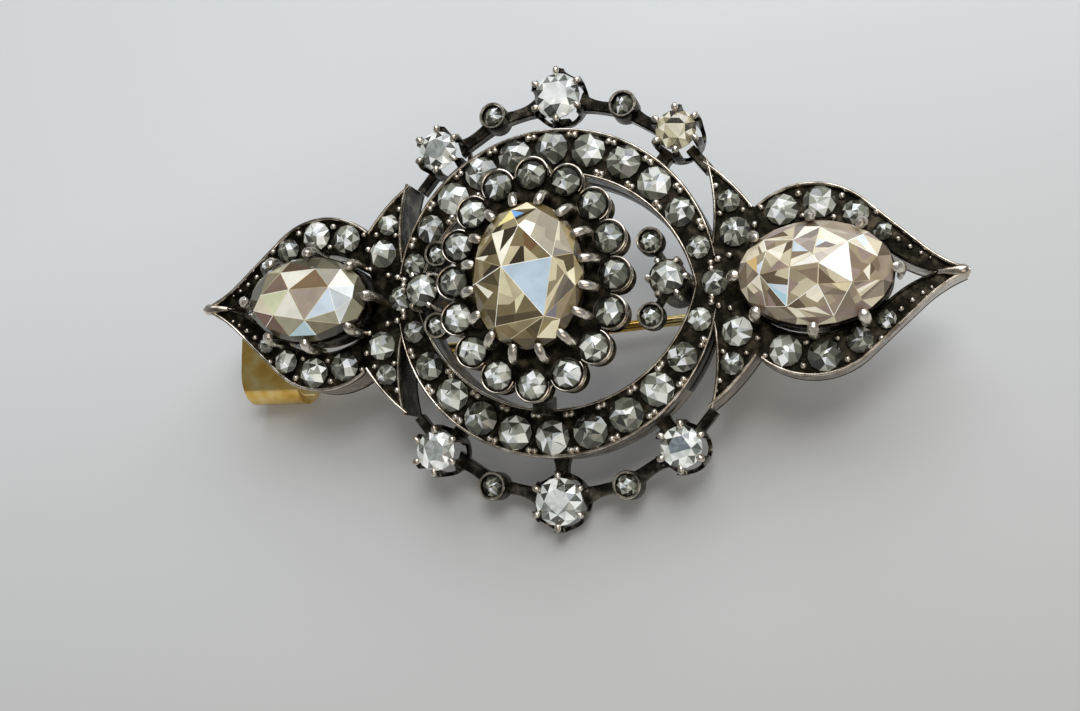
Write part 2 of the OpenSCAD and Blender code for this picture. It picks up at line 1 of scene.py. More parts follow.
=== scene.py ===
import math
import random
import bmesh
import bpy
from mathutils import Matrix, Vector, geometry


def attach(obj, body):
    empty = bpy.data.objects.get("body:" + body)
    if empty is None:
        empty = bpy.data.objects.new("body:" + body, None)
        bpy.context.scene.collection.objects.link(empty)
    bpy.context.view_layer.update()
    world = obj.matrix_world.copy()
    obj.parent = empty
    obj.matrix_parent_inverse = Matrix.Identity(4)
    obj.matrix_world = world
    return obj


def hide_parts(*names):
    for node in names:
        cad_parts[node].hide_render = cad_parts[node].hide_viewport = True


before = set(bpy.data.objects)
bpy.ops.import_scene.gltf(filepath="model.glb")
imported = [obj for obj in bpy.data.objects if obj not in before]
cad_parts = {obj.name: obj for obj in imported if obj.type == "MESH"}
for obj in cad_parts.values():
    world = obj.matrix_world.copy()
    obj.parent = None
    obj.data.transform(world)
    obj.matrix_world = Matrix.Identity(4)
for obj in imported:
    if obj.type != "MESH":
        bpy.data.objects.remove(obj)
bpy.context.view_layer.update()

# %% [markdown]
# # An old-cut diamond brooch
# The brooch is a ring of stones round a raised oval cluster. A pointed drop with a large stone reaches out on
# each side, and single stones in claws stand in an arc above and below. Its silver is blackened in the beds
# and rubbed bright on every edge, and a gold pin, hinge and catch sit behind.
# The measured model is loaded first. Everything made below is drawn on the brooch's own face in millimetres,
# because all its shapes are simple there, and one matrix then lays it into the leaning model.

# %% [markdown]
# ## The face
# The brooch leans back by 22 degrees on its catch, its hinge and its lowest collet. The matrix turns a point
# (across, up the face, out of the face) in millimetres into metres in the shared frame.

# %% From the face to the frame
LEAN = math.radians(22)
FACE_SHIFT = -0.853163
FACE_LIFT = 9.425219
FACE = (Matrix.Scale(0.001, 4) @ Matrix.Translation((0, FACE_SHIFT, FACE_LIFT))
        @ Matrix.Rotation(LEAN, 4, "X"))
print("middle of the face, mm:", [round(1000 * v, 2) for v in FACE @ Vector((0, 0, 0))])

# %% [markdown]
# ## Nodes without ceremony
# One small function adds a node, sets its properties and fills or links its sockets. Materials and geometry
# trees are both written with it.

# %% One function for every node
def add(tree, kind, sockets=None, **settings):
    node = tree.nodes.new(kind)
    for key, value in settings.items():
        setattr(node, key, value)
    for key, value in (sockets or {}).items():
        if isinstance(value, bpy.types.NodeSocket):
            tree.links.new(value, node.inputs[key])
        else:
            node.inputs[key].default_value = value
    return node


def colour(code):
    """A colour given as an sRGB hex code, turned linear."""
    parts = [int(code[i:i + 2], 16) / 255 for i in (1, 3, 5)]
    return [p / 12.92 if p <= 0.04045 else ((p + 0.055) / 1.055) ** 2.4 for p in parts] + [1]


def new_material(name, **constants):
    """A material with one shader, whose constants sit on the shader's own sockets."""
    material = bpy.data.materials.new(name)
    material.use_nodes = True
    tree = material.node_tree
    shader = tree.nodes["Principled BSDF"]
    for key, value in constants.items():
        shader.inputs[key.replace("_", " ")].default_value = value
    return material, tree, shader


def ramp(tree, factor, stops):
    """Blends given colours or greys along a factor."""
    node = add(tree, "ShaderNodeValToRGB", {"Fac": factor})
    elements = node.color_ramp.elements
    while len(elements) < len(stops):
        elements.new(0.5)
    for element, (place, value) in zip(elements, stops):
        element.position = place
        element.color = colour(value) if isinstance(value, str) else (value, value, value, 1)
    return node.outputs["Color"]


# %% [markdown]
# ## Silver
# Old silver is three finishes of one metal. Edges that are touched are rubbed bright and warm. Walls keep a
# thin yellow-grey tarnish with fine scratches. Whether a wall takes a lighter or a darker copy of it follows how
# light falls on it: painted light and shade on top of the tarnish. Beds under the stones were blackened with
# sulphur and stay dark, with a brown and olive cast. Each is a metal with its own colour and roughness, and a
# noise a few tenths of a millimetre wide makes the tarnish patchy.

# %% Silver in three finishes
MM = 1000.0


def silver(name, dark, middle, light, rough_low, rough_high, patch_mm, bump):
    material, tree, shader = new_material(name, Metallic=1.0)
    place = add(tree, "ShaderNodeTexCoord").outputs["Object"]
    patches = add(tree, "ShaderNodeTexNoise", {"Vector": place, "Scale": MM / patch_mm, "Detail": 5.0})
    scratches = add(tree, "ShaderNodeTexNoise", {"Vector": place, "Scale": MM / (patch_mm * 0.22), "Detail": 2.0})
    tint = ramp(tree, patches.outputs["Fac"], [(0.32, dark), (0.5, middle), (0.68, light)])
    rough = add(tree, "ShaderNodeMapRange", {"Value": scratches.outputs["Fac"], "From Min": 0.3, "From Max": 0.7,
                                             "To Min": rough_low, "To Max": rough_high})
    relief = add(tree, "ShaderNodeBump", {"Strength": bump, "Distance": 0.00002,
                                          "Height": scratches.outputs["Fac"]})
    tree.links.new(tint, shader.inputs["Base Color"])
    tree.links.new(rough.outputs["Result"], shader.inputs["Roughness"])
    tree.links.new(relief.outputs["Normal"], shader.inputs["Normal"])
    return material


rubbed_silver = silver("rubbed_silver", "#7b7264", "#cabfae", "#f6eee0", 0.12, 0.3, 0.9, 0.25)
claw_silver = silver("filed_claw_silver", "#a89e8e", "#e2d9ca", "#fcf6ea", 0.2, 0.38, 0.8, 0.25)
worn_and_lit_silver = silver("worn_silver_wall", "#8c8274", "#b8ada0", "#d2c8bc", 0.2, 0.42, 1.2, 0.3)
black_silver = silver("blackened_silver", "#12110d", "#24211a", "#4d4639", 0.3, 0.55, 0.7, 0.6)
dark_silver = silver("tarnished_silver", "#1c1a16", "#37332c", "#7a7265", 0.2, 0.42, 1.0, 0.4)
print("silver finishes:", rubbed_silver.name, worn_and_lit_silver.name, black_silver.name, dark_silver.name)

# %% [markdown]
# ## Gold
# The pin, hinge and catch are 15 carat gold: a warm reddish yellow, drawn and filed by hand, so its roughness
# runs in soft patches and nothing on it is a perfect mirror.

# %% Gold
gold, gold_tree, gold_shader = new_material("drawn_gold", Metallic=1.0)
gold_place = add(gold_tree, "ShaderNodeTexCoord").outputs["Object"]
gold_patches = add(gold_tree, "ShaderNodeTexNoise", {"Vector": gold_place, "Scale": MM / 1.6, "Detail": 4.0})
gold_tint = ramp(gold_tree, gold_patches.outputs["Fac"], [(0.3, "#d6a548"), (0.5, "#efc76c"), (0.7, "#fce5a4")])
gold_rough = add(gold_tree, "ShaderNodeMapRange", {"Value": gold_patches.outputs["Fac"], "From Min": 0.3,
                                                   "From Max": 0.7, "To Min": 0.24, "To Max": 0.12})
gold_tree.links.new(gold_tint, gold_shader.inputs["Base Color"])
gold_tree.links.new(gold_rough.outputs["Result"], gold_shader.inputs["Roughness"])
print("gold:", gold.name)

# %% [markdown]
# ## Diamond
# An old rose cut shows hard-edged patches of light and dark. Each facet mirrors another part of the room, and the
# facets behind it split that picture again. The patches are painted facet by facet in a colour attribute, and
# the index of diamond, 2.42, gives the sharp gloss on top. Part of the light goes through the stone, more of it
# where the setting is open behind. A faint cloud keeps the patches from looking flat.

# %% Diamond in painted facets
def faceted_diamond(name, cloud_mm, depth, gloss):
    """depth is the part of the light that goes through. gloss is low, as the patches already stand for mirrors."""
    material, tree, shader = new_material(name, Roughness=0.04, IOR=2.42)
    shader.inputs["Transmission Weight"].default_value = depth
    shader.inputs["Specular IOR Level"].default_value = gloss
    facet = add(tree, "ShaderNodeAttribute", attribute_name="facet").outputs["Color"]
    place = add(tree, "ShaderNodeTexCoord").outputs["Object"]
    clouds = add(tree, "ShaderNodeTexNoise", {"Vector": place, "Scale": MM / cloud_mm, "Detail": 3.0})
    veil = ramp(tree, clouds.outputs["Fac"], [(0.35, 0.8), (0.6, 1.0)])
    mix = add(tree, "ShaderNodeMix", data_type="RGBA", blend_type="MULTIPLY")
    mix.inputs[0].default_value = 1.0
    tree.links.new(facet, mix.inputs[6])
    tree.links.new(veil, mix.inputs[7])
    tree.links.new(mix.outputs[2], shader.inputs["Base Color"])
    # The brightest patches stand for the window mirrored from inside the stone, so they glow a little and give back
    # more light than paper does: a painted glint.
    bright = add(tree, "ShaderNodeRGBToBW", {"Color": facet})
    glint = add(tree, "ShaderNodeMapRange", {"Value": bright.outputs["Val"], "From Min": 0.45, "From Max": 1.0,
                                             "To Min": 0.0, "To Max": 0.34})
    tree.links.new(facet, shader.inputs["Emission Color"])
    tree.links.new(glint.outputs["Result"], shader.inputs["Emission Strength"])
    return material


rose_diamond = faceted_diamond("rose_cut_diamond", 0.5, 0.2, 0.3)
brown_diamond = faceted_diamond("brown_rose_cut_diamond", 1.2, 0.2, 0.12)
open_diamond = faceted_diamond("open_set_diamond", 0.8, 0.4, 0.45)
champagne_diamond = faceted_diamond("champagne_rose_cut_diamond", 1.2, 0.15, 0.12)
print("diamonds:", rose_diamond.name, open_diamond.name, brown_diamond.name, champagne_diamond.name)

# %% [markdown]
# ## Lines on the face
# A maker marks the design with a few arcs and pulls. These are the same curves as the measured model's,
# only with more points, so that bright edges run smoothly.

# %% Curves, arcs and ovals
def curve(a, b, c, steps):
    a, b, c = Vector(a), Vector(b), Vector(c)
    return [(1 - t) ** 2 * a + 2 * t * (1 - t) * b + t * t * c for t in (i / steps for i in range(steps + 1))]


def arc(mid, r, start, stop, steps):
    angles = (math.radians(start + (stop - start) * i / steps) for i in range(steps + 1))
    return [Vector((mid[0] + r * math.cos(t), mid[1] + r * math.sin(t))) for t in angles]


def oval(mid, a, b, steps):
    angles = (2 * math.pi * i / steps for i in range(steps))
    return [Vector((mid[0] + a * math.cos(t), mid[1] + b * math.sin(t))) for t in angles]


def flipped(points):
    """The same line below the middle, run the other way."""
    return [Vector((p.x, -p.y)) for p in reversed(points)]


def spaced(points, closed=True):
    """Drops points that repeat."""
    kept = [points[0]]
    for p in points[1:]:
        if (p - kept[-1]).length > 1e-4:
            kept.append(p)
    if closed and (kept[0] - kept[-1]).length < 1e-4:
        kept.pop()
    return kept


RING_R = 11.4
HOLE_W, HOLE_H = 9.75, 8.05
HOLE_C = (HOLE_W ** 2 - HOLE_H ** 2) / (2 * HOLE_H)
HOLE_R = HOLE_H + HOLE_C
hole_half_angle = math.degrees(math.atan2(HOLE_C, HOLE_W))
ring_edge = spaced(arc((0, 0), RING_R, 0, 360, 240))
hole_top = arc((0, -HOLE_C), HOLE_R, hole_half_angle, 180 - hole_half_angle, 90)
hole_edge = spaced(hole_top + flipped(hole_top)[1:])
LEAF_TIP = (10.6, 8.25)
WING_END = (13.75, 4.95)
leaf_inner = curve((10.7, 1.5), (11.5, 5.2), LEAF_TIP, 26)
leaf_outer = curve(LEAF_TIP, (12.3, 7), WING_END, 22)
TIP = (27, 0.12)
drop_upper = spaced(arc((17.3, 1.2), 5.2, 131, 47, 44) + curve((24.1, 2), (25.4, 0.75), TIP, 22), False)
side_upper = spaced(leaf_inner + leaf_outer + drop_upper, False)
side_edge = spaced(side_upper + flipped(side_upper))
DROP_HOLE_X, DROP_HOLE_A, DROP_HOLE_B = 17.4, 4.45, 3.6
drop_hole_upper = spaced(
    [Vector((DROP_HOLE_X + DROP_HOLE_A * math.cos(t), DROP_HOLE_B * math.sin(t)))
     for t in (math.pi - math.pi / 2 * i / 20 for i in range(21))]
    + curve((DROP_HOLE_X, DROP_HOLE_B), (19.8, 3.5), (22.2, 1.45), 20)
    + curve((22.2, 1.45), (23.6, 0.3), (25, 0), 14), False)
drop_hole_edge = spaced(drop_hole_upper + flipped(drop_hole_upper)[1:-1])
print("points on the ring, a side and its opening:", len(ring_edge), len(side_edge), len(drop_hole_edge))

# %% [markdown]
# ## The silver plates
# The ring and the two sides are 3.4 mm deep silver with blackened beds let into the front. A triangulation
# with extra points inside carries the bed, and rings of points carry the walls: down from the bed, over a
# shallow groove where two layers of metal are soldered together, and round a softened back edge.

# %% A plate from its outlines
PLATE_BACK = -3.4
BED = -0.35
DROP_BED = -0.75


def outward(loop):
    """Unit normals of a closed outline, pointing out of the area that it holds."""
    area = sum(a.cross(b) for a, b in zip(loop, loop[1:] + loop[:1]))
    turn = 1 if area > 0 else -1
    normals = []
    for i, p in enumerate(loop):
        along = (loop[(i + 1) % len(loop)] - p).normalized() + (p - loop[i - 1]).normalized()
        if along.length < 0.2:
            along = loop[(i + 1) % len(loop)] - p
        along.normalize()
        normals.append(turn * Vector((along.y, -along.x)))
    return normals


def holds(loop, x, y):
    """Whether a closed outline holds a point: a ray to the right crosses it an odd number of times."""
    inside = False
    for a, b in zip(loop, loop[1:] + loop[:1]):
        if (a.y > y) != (b.y > y) and x < a.x + (y - a.y) / (b.y - a.y) * (b.x - a.x):
            inside = not inside
    return inside


def plate(name, outline, holes, bed_height, wall, tone, back=PLATE_BACK, grid=0.5):
    """A closed plate. bed_height gives the bed's level at a point, and wall the insets and levels below it."""
    loops = [(outline, outward(outline))] + [(hole, [-n for n in outward(hole)]) for hole in holes]
    flat, edges = [], []
    for loop, _ in loops:
        start = len(flat)
        flat += loop
        edges += [(start + i, start + (i + 1) % len(loop)) for i in range(len(loop))]
    low = Vector((min(p.x for p in outline), min(p.y for p in outline)))
    high = Vector((max(p.x for p in outline), max(p.y for p in outline)))
    x = low.x + grid / 2
    while x < high.x:
        y = low.y + grid / 2
        while y < high.y:
            flat.append(Vector((x, y)))
            y += grid
        x += grid
    points, _, triangles, _, _, _ = geometry.delaunay_2d_cdt(flat, edges, [], 0, 1e-5)
    faces = []
    for triangle in triangles:
        x = sum(points[i].x for i in triangle) / 3
        y = sum(points[i].y for i in triangle) / 3
        if holds(outline, x, y) and not any(holds(hole, x, y) for hole in holes):
            faces.append(triangle)
    bm = bmesh.new()
    for level in (None, back):
        ring = [bm.verts.new((p.x, p.y, bed_height(p) if level is None else level)) for p in points]
        for face in faces:
            bm.faces.new([ring[i] for i in face])
    for loop, normals in loops:
        rings = [[bm.verts.new((p.x, p.y, bed_height(p))) for p in loop]]
        for inset, level in wall:
            rings.append([bm.verts.new((p.x - n.x * inset, p.y - n.y * inset, level))
                          for p, n in zip(loop, normals)])
        rings.append([bm.verts.new((p.x, p.y, back)) for p in loop])
        for upper, lower in zip(rings, rings[1:]):
            for i in range(len(upper)):
                j = (i + 1) % len(upper)
                bm.faces.new([upper[i], upper[j], lower[j], lower[i]])
    loose = [v for v in bm.verts if not v.link_faces]
    bmesh.ops.delete(bm, geom=loose, context="VERTS")
    bmesh.ops.remove_doubles(bm, verts=bm.verts, dist=2e-4)
    bmesh.ops.recalc_face_normals(bm, faces=bm.faces)
    mesh = bpy.data.meshes.new(name)
    for face in bm.faces:
        face.smooth = True
        face.material_index = 0 if face.normal.z > 0.7 else tone(face.calc_center_median(), face.normal)
    bm.to_mesh(mesh)
    bm.free()
    for material in (black_silver, worn_and_lit_silver, dark_silver):
        mesh.materials.append(material)
    return mesh


RING_WALL = [(0, -0.5), (0, -1.55), (0.07, -1.65), (0.07, -1.75), (0, -1.85), (0, -3.3), (0.03, -3.37)]
SIDE_WALL = [(0, -0.9), (0, -2.2), (0.03, -3.2), (0.07, -3.36)]
# Painted light and shade: the outer wall at the bottom of the ring faces down to the pale board and takes the lighter
# wall silver as painted bounce light. All other walls take the dark tarnished silver, real tarnish deepened as
# painted shade.
ring_plate = plate("ring_plate", ring_edge, [hole_edge], lambda p: BED, RING_WALL,
                   lambda p, n: 1 if p.y < -7 and n.y < 0 else 2)


def side_bed(p):
    """The bed steps down from the wing to the drop over a soft ramp."""
    t = min(1, max(0, (abs(p.x) - 13.3) / 0.9))
    return BED - 0.01 + (DROP_BED - BED) * t * t * (3 - 2 * t)


# Painted light and shade: the outer walls of the wings and drops take the lighter wall silver as painted light. The
# walls facing the ring and most walls round a drop's opening take the dark tarnished silver, painted shade on top of
# real tarnish.
right_plate = plate("right_plate", side_edge, [drop_hole_edge], side_bed, SIDE_WALL,
                    lambda p, n: 2 if n.x < 0 and p.x < 11.7 or abs(p.y) < 3.5 and p.x < 22 else 1)
print("faces of the ring and a side:", len(ring_plate.polygons), len(right_plate.polygons))

# %% [markdown]
# ## From drawings to pieces
# A piece is often several closed shapes of one metal. This joins them, mirrors where asked, turns faces
# outwards, smooths all but the sharp edges, and lays the result into the frame, at the origin and unturned.

# %% Joining, mirroring and placing
def mirrored(mesh, name=None):
    """A copy on the other side of the middle, with its faces turned the right way again."""
    copy = mesh.copy()
    copy.name = name or mesh.name + "_mirrored"
    copy.transform(Matrix.Scale(-1, 4, (1, 0, 0)))
    copy.flip_normals()
    return copy


def piece(name, meshes, nodes, body="brooch", sharp_deg=38):
    whole = bmesh.new()
    materials = []
    for mesh in meshes:
        before = len(whole.faces)
        whole.from_mesh(mesh)
        whole.faces.ensure_lookup_table()
        for face in whole.faces[before:]:
            material = mesh.materials[face.material_index]
            if material not in materials:
                materials.append(material)
            face.material_index = materials.index(material)
    bmesh.ops.recalc_face_normals(whole, faces=whole.faces)
    whole.transform(FACE)
    joined = bpy.data.meshes.new(name)
    whole.to_mesh(joined)
    whole.free()
    for material in materials:
        joined.materials.append(material)
    if sharp_deg:
        joined.polygons.foreach_set("use_smooth", [True] * len(joined.polygons))
        joined.set_sharp_from_angle(angle=math.radians(sharp_deg))
    else:
        joined.polygons.foreach_set("use_smooth", [False] * len(joined.polygons))
    thing = bpy.data.objects.new(name, joined)
    bpy.context.scene.collection.objects.link(thing)
    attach(thing, body)
    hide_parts(*nodes)
    print(name, "faces:", len(joined.polygons))
    return thing


piece("silver_plates", [ring_plate, right_plate, mirrored(right_plate)], ["silver_frame"])

# %% [markdown]
# ## A tree for wires
# Every bright rim, bezel and scallop is a wire that follows a line. One geometry tree turns loose edges into
# curves and sweeps an oval section along them. Each point of the line may carry its own thickness, so a rim
# can thin out where two of them meet.

# %% Wires along lines
def new_tree(name, inputs):
    tree = bpy.data.node_groups.new(name, "GeometryNodeTree")
    tree.interface.new_socket("Geometry", in_out="INPUT", socket_type="NodeSocketGeometry")
    tree.interface.new_socket("Geometry", in_out="OUTPUT", socket_type="NodeSocketGeometry")
    for label, kind in inputs:
        tree.interface.new_socket(label, in_out="INPUT", socket_type=kind)
    return tree, add(tree, "NodeGroupInput").outputs


wire_tree, wire_in = new_tree("wire_along_lines", [("Width", "NodeSocketFloat"), ("Height", "NodeSocketFloat"),
                                                   ("Round Steps", "NodeSocketInt"),
                                                   ("Material", "NodeSocketMaterial")])
wire_line = add(wire_tree, "GeometryNodeMeshToCurve", {"Mesh": wire_in["Geometry"]})
wire_up = add(wire_tree, "GeometryNodeSetCurveNormal", {"Curve": wire_line.outputs["Curve"]}, mode="Z_UP")
wire_thick = add(wire_tree, "GeometryNodeInputNamedAttribute", {"Name": "thickness"}, data_type="FLOAT")
wire_section = add(wire_tree, "GeometryNodeCurvePrimitiveCircle", {"Resolution": wire_in["Round Steps"],
                                                                   "Radius": 0.5})
wire_size = add(wire_tree, "ShaderNodeCombineXYZ", {"X": wire_in["Width"], "Y": wire_in["Height"], "Z": 1.0})
wire_oval = add(wire_tree, "GeometryNodeTransform", {"Geometry": wire_section.outputs["Curve"],
                                                     "Scale": wire_size.outputs["Vector"]})
wire_sized = add(wire_tree, "GeometryNodeSetCurveRadius", {"Curve": wire_up.outputs["Curve"],
                                                           "Radius": wire_thick.outputs["Attribute"]})
wire_sweep = add(wire_tree, "GeometryNodeCurveToMesh", {"Curve": wire_sized.outputs["Curve"],
                                                        "Profile Curve": wire_oval.outputs["Geometry"],
                                                        "Fill Caps": True})
if "Scale" in wire_sweep.inputs:
    wire_tree.links.new(wire_thick.outputs["Attribute"], wire_sweep.inputs["Scale"])
wire_real = add(wire_tree, "GeometryNodeRealizeInstances", {"Geometry": wire_sweep.outputs["Mesh"]})
wire_done = add(wire_tree, "GeometryNodeSetMaterial", {"Geometry": wire_real.outputs["Geometry"],
                                                       "Material": wire_in["Material"]})
add(wire_tree, "NodeGroupOutput", {"Geometry": wire_done.outputs["Geometry"]})


def grow(tree, name, mesh, settings):
    """Runs a tree on a mesh and keeps the result as a plain mesh."""
    holder = bpy.data.objects.new(name, mesh)
    bpy.context.scene.collection.objects.link(holder)
    modifier = holder.modifiers.new("grow", "NODES")
    modifier.node_group = tree
    for item in tree.interface.items_tree:
        if item.item_type == "SOCKET" and item.in_out == "INPUT" and item.name in settings:
            modifier[item.identifier] = settings[item.name]
    holder.update_tag()
    depsgraph = bpy.context.evaluated_depsgraph_get()
    result = bpy.data.meshes.new_from_object(holder.evaluated_get(depsgraph))
    holder.modifiers.clear()
    bpy.data.objects.remove(holder)
    result.name = name
    return result


def wires(name, lines, width, height, material, steps=8):
    """Wires along lines. A line is (points in 3D, closed, thickness at its start, middle and end)."""
    verts, edges, thick = [], [], []
    for points, closed, sizes in lines:
        start = len(verts)
        count = len(points)
        verts += [tuple(p) for p in points]
        edges += [(start + i, start + i + 1) for i in range(count - 1)]
        if closed:
            edges.append((start + count - 1, start))
        for i in range(count):
            t = i / (count - 1) * (len(sizes) - 1)
            k = min(int(t), len(sizes) - 2) if len(sizes) > 1 else 0
            low, high = sizes[k], sizes[min(k + 1, len(sizes) - 1)]
            thick.append(low + (high - low) * (t - k))
    mesh = bpy.data.meshes.new(name + "_lines")
    mesh.from_pydata(verts, edges, [])
    mesh.attributes.new("thickness", "FLOAT", "POINT").data.foreach_set("value", thick)
    return grow(wire_tree, name, mesh, {"Width": width, "Height": height, "Round Steps": steps,
                                        "Material": material})


def raised(points, level):
    """Puts a line of the face at a level, given as a number or as a function of the point."""
    return [Vector((p.x, p.y, level(p) if callable(level) else level)) for p in points]


# %% [markdown]
# ## Bright rims
# The edges round the beds are worn bright. Each follows its outline, set in by half of its width. The ring's
# outer rim opens where the wings join it, the wings' rims end in points, and the two rims of a drop run
# together into one long bright tip.

# %% Rims of the ring, wings and drops
RIM = 0.27
HALF_RIM = RIM / 2


def set_in(points, distance):
    """An open line moved to its right by a distance."""
    moved = []
    for i, p in enumerate(points):
        along = (points[min(i + 1, len(points) - 1)] - points[max(i - 1, 0)]).normalized()
        moved.append(p + distance * Vector((along.y, -along.x)))
    return moved


def four_ways(points):
    """A line of the right upper quarter, and its three mirror images."""
    images = []
    for sx in (1, -1):
        for sy in (1, -1):
            images.append([Vector((sx * p.x, sy * p.y, p.z)) for p in points])
    return images


RIM_LEVEL = -0.24
DROP_RIM_LEVEL = -0.62
rim_lines = []
for start, stop in ((9, 171), (189, 351)):
    rim_lines.append((raised(arc((0, 0), RING_R - HALF_RIM, start, stop, 130), RIM_LEVEL), False, [0.5, 1, 1, 1, 1, 1, 1, 0.5]))
inner_rim = arc((0, -HOLE_C), HOLE_R + HALF_RIM, hole_half_angle - 0.3, 180.3 - hole_half_angle, 90)
for flip in (1, -1):
    rim_lines.append((raised([Vector((p.x, flip * p.y)) for p in inner_rim], RIM_LEVEL), False, [0.6, 0.9, 0.9, 0.6]))
wing_inner = set_in(leaf_inner, HALF_RIM)
wing_outer = set_in(leaf_outer, HALF_RIM)
drop_outer = set_in(drop_upper, HALF_RIM)
for image in four_ways(raised(wing_inner[4:], RIM_LEVEL)):
    rim_lines.append((image, False, [0.55, 0.9, 0.9, 0.7]))
for image in four_ways(raised(wing_outer, RIM_LEVEL)):
    rim_lines.append((image, False, [0.7, 1, 1, 0.9]))
for image in four_ways(raised(drop_outer, DROP_RIM_LEVEL)):
    rim_lines.append((image, False, [0.7, 1, 1, 1, 1, 1.25]))
bright_rims = wires("bright_rims", rim_lines, RIM, 0.56, rubbed_silver, 10)
dull_lines = []
for side in (1, -1):
    grown = [p - 0.1 * n for p, n in zip(drop_hole_edge, [-m for m in outward(drop_hole_edge)])]
    dull_lines.append((raised([Vector((side * p.x, p.y)) for p in grown], DROP_RIM_LEVEL - 0.02), True, [1]))
dull_rims = wires("dull_rims", dull_lines, 0.2, 0.46, dark_silver, 8)


def blob(name, rings, material, steps=16):
    """A closed round body along x, from (x, y radius, z radius, z) rings that begin and end at points."""
    bm = bmesh.new()
    rows = []
    for x, ry, rz, z in rings:
        if ry < 1e-6:
            rows.append([bm.verts.new((x, 0, z))])
        else:
            rows.append([bm.verts.new((x, ry * math.cos(2 * math.pi * i / steps),
                                       z + rz * math.sin(2 * math.pi * i / steps))) for i in range(steps)])
    for a, b in zip(rows, rows[1:]):
        for i in range(steps):
            j = (i + 1) % steps
            corners = [a[i % len(a)], a[j % len(a)], b[j % len(b)], b[i % len(b)]]
            unique = list(dict.fromkeys(corners))
            if len(unique) > 2:
                bm.faces.new(unique)
    mesh = bpy.data.meshes.new(name)
    bm.to_mesh(mesh)
    bm.free()
    mesh.materials.append(material)
    return mesh


tip = blob("tip", [(24.6, 0, 0, -0.7), (24.9, 0.14, 0.12, -0.66), (25.5, 0.24, 0.3, -0.58), (26.0, 0.33, 0.4, -0.56),
                   (26.4, 0.42, 0.48, -0.56), (26.72, 0.42, 0.46, -0.58), (26.93, 0.28, 0.32, -0.64),
                   (27.03, 0, 0, -0.7)], rubbed_silver)
piece("silver_rims", [bright_rims, dull_rims, tip, mirrored(tip)], ["silver_frame"], sharp_deg=60)

# %% [markdown]
# ## Cut stones
# A rose cut is a faceted dome on a flat base. The hull of a few rings of points makes one: whatever the points
# are, the hull is closed and each of its facets is flat. The points are shifted a little with a fixed seed,
# because old stones were cut by eye and no two catch the light alike.

# %% A cut stone as a hull of points
def hull(bm):
    made = bmesh.ops.convex_hull(bm, input=bm.verts)
    spare = list({g for g in made["geom_interior"] + made["geom_unused"] if isinstance(g, bmesh.types.BMVert)})
    bmesh.ops.delete(bm, geom=spare, context="VERTS")
    bmesh.ops.dissolve_limit(bm, angle_limit=math.radians(1.5), verts=bm.verts, edges=bm.edges)
    bmesh.ops.recalc_face_normals(bm, faces=bm.faces)


def finished(bm, name, material):
    mesh = bpy.data.meshes.new(name)
    bm.to_mesh(mesh)
    bm.free()
    mesh.materials.append(material)
    return mesh


def ringed(rings, jitter, seed, turn=0.0, tilt=0.0):
    """rings are (count, radius, level, phase in steps) of a stone with a half width of 1."""
    chance = random.Random(seed)
    bm = bmesh.new()
    for count, radius, level, phase in rings:
        for i in range(count):
            t = 2 * math.pi * (i + phase) / count + turn
            free = jitter if 0.05 < radius < 0.93 and level > 0 else 0
            r = radius * (1 + free * chance.uniform(-1, 1))
            t += free * 0.6 * chance.uniform(-1, 1) / max(radius, 0.3)
            z = level * (1 + 0.5 * free * chance.uniform(-1, 1))
            bm.verts.new((r * math.cos(t), r * math.sin(t), z + tilt * r * math.cos(t)))
    hull(bm)
    return bm


def paint(bm, chance, tints, marks=(), rim=None, girdle=None, edges=(), edge_highlight_tints=None):
    """Colours every facet by chance from tints, which mix the stone's own colour with painted reflections. A mark
    colours the facet that lies nearest to it.
    """
    layer = bm.loops.layers.float_color.new("facet")
    mids = {face: face.calc_center_median() for face in bm.faces if face.normal.z > 0.15 and face not in edges}
    chosen = {}
    for x, y, tint in marks:
        chosen[min(mids, key=lambda f: (mids[f].x - x) ** 2 + (mids[f].y - y) ** 2)] = tint
    for face in bm.faces:
        mid = face.calc_center_median()
        group = tints
        if face in edges:
            group = edge_highlight_tints
        elif girdle and face.normal.z < 0.15:
            group = girdle
        elif rim and math.hypot(mid.x, mid.y) > 0.82:
            group = rim
        value = colour(chosen.get(face) or chance.choices([t for t, _ in group], [w for _, w in group])[0])
        for loop in face.loops:
            loop[layer] = value


SMALL_ROSE = [(12, 0.93, 0, 0), (12, 1, 0.13, 0), (12, 1, 0.2, 0), (6, 0.66, 0.52, 0.5), (6, 0.26, 0.72, 0),
              (1, 0, 0.75, 0)]
DEEP_ROUND = [(8, 0.16, -0.58, 0), (16, 1, -0.03, 0), (16, 1, 0.03, 0), (8, 0.8, 0.2, 0.5), (8, 0.54, 0.36, 0)]
# Tints of painted reflections for the small stones: bright, grey and dark moods, darker outer facets, and near-white
# painted highlights that flash.
WHITE_TINTS = [("#ebede4", 4), ("#c2c4b5", 4), ("#929484", 3), ("#54554a", 2)]
GREY_TINTS = [("#cfd1c2", 3), ("#a2a493", 4), ("#737565", 4), ("#41423a", 2)]
DARK_TINTS = [("#a6a896", 2), ("#7c7d6c", 4), ("#565749", 4), ("#2b2c26", 2)]
FLASH = ((0.2, 0, "#e4e9e8"), (0.45, 0, "#fbfdff"), (0.45, 0.5, "#d6dddd"))
OUTER_TINTS = [("#cfd1c4", 2), ("#8d8f7e", 3), ("#57594c", 4), ("#2f302a", 3)]


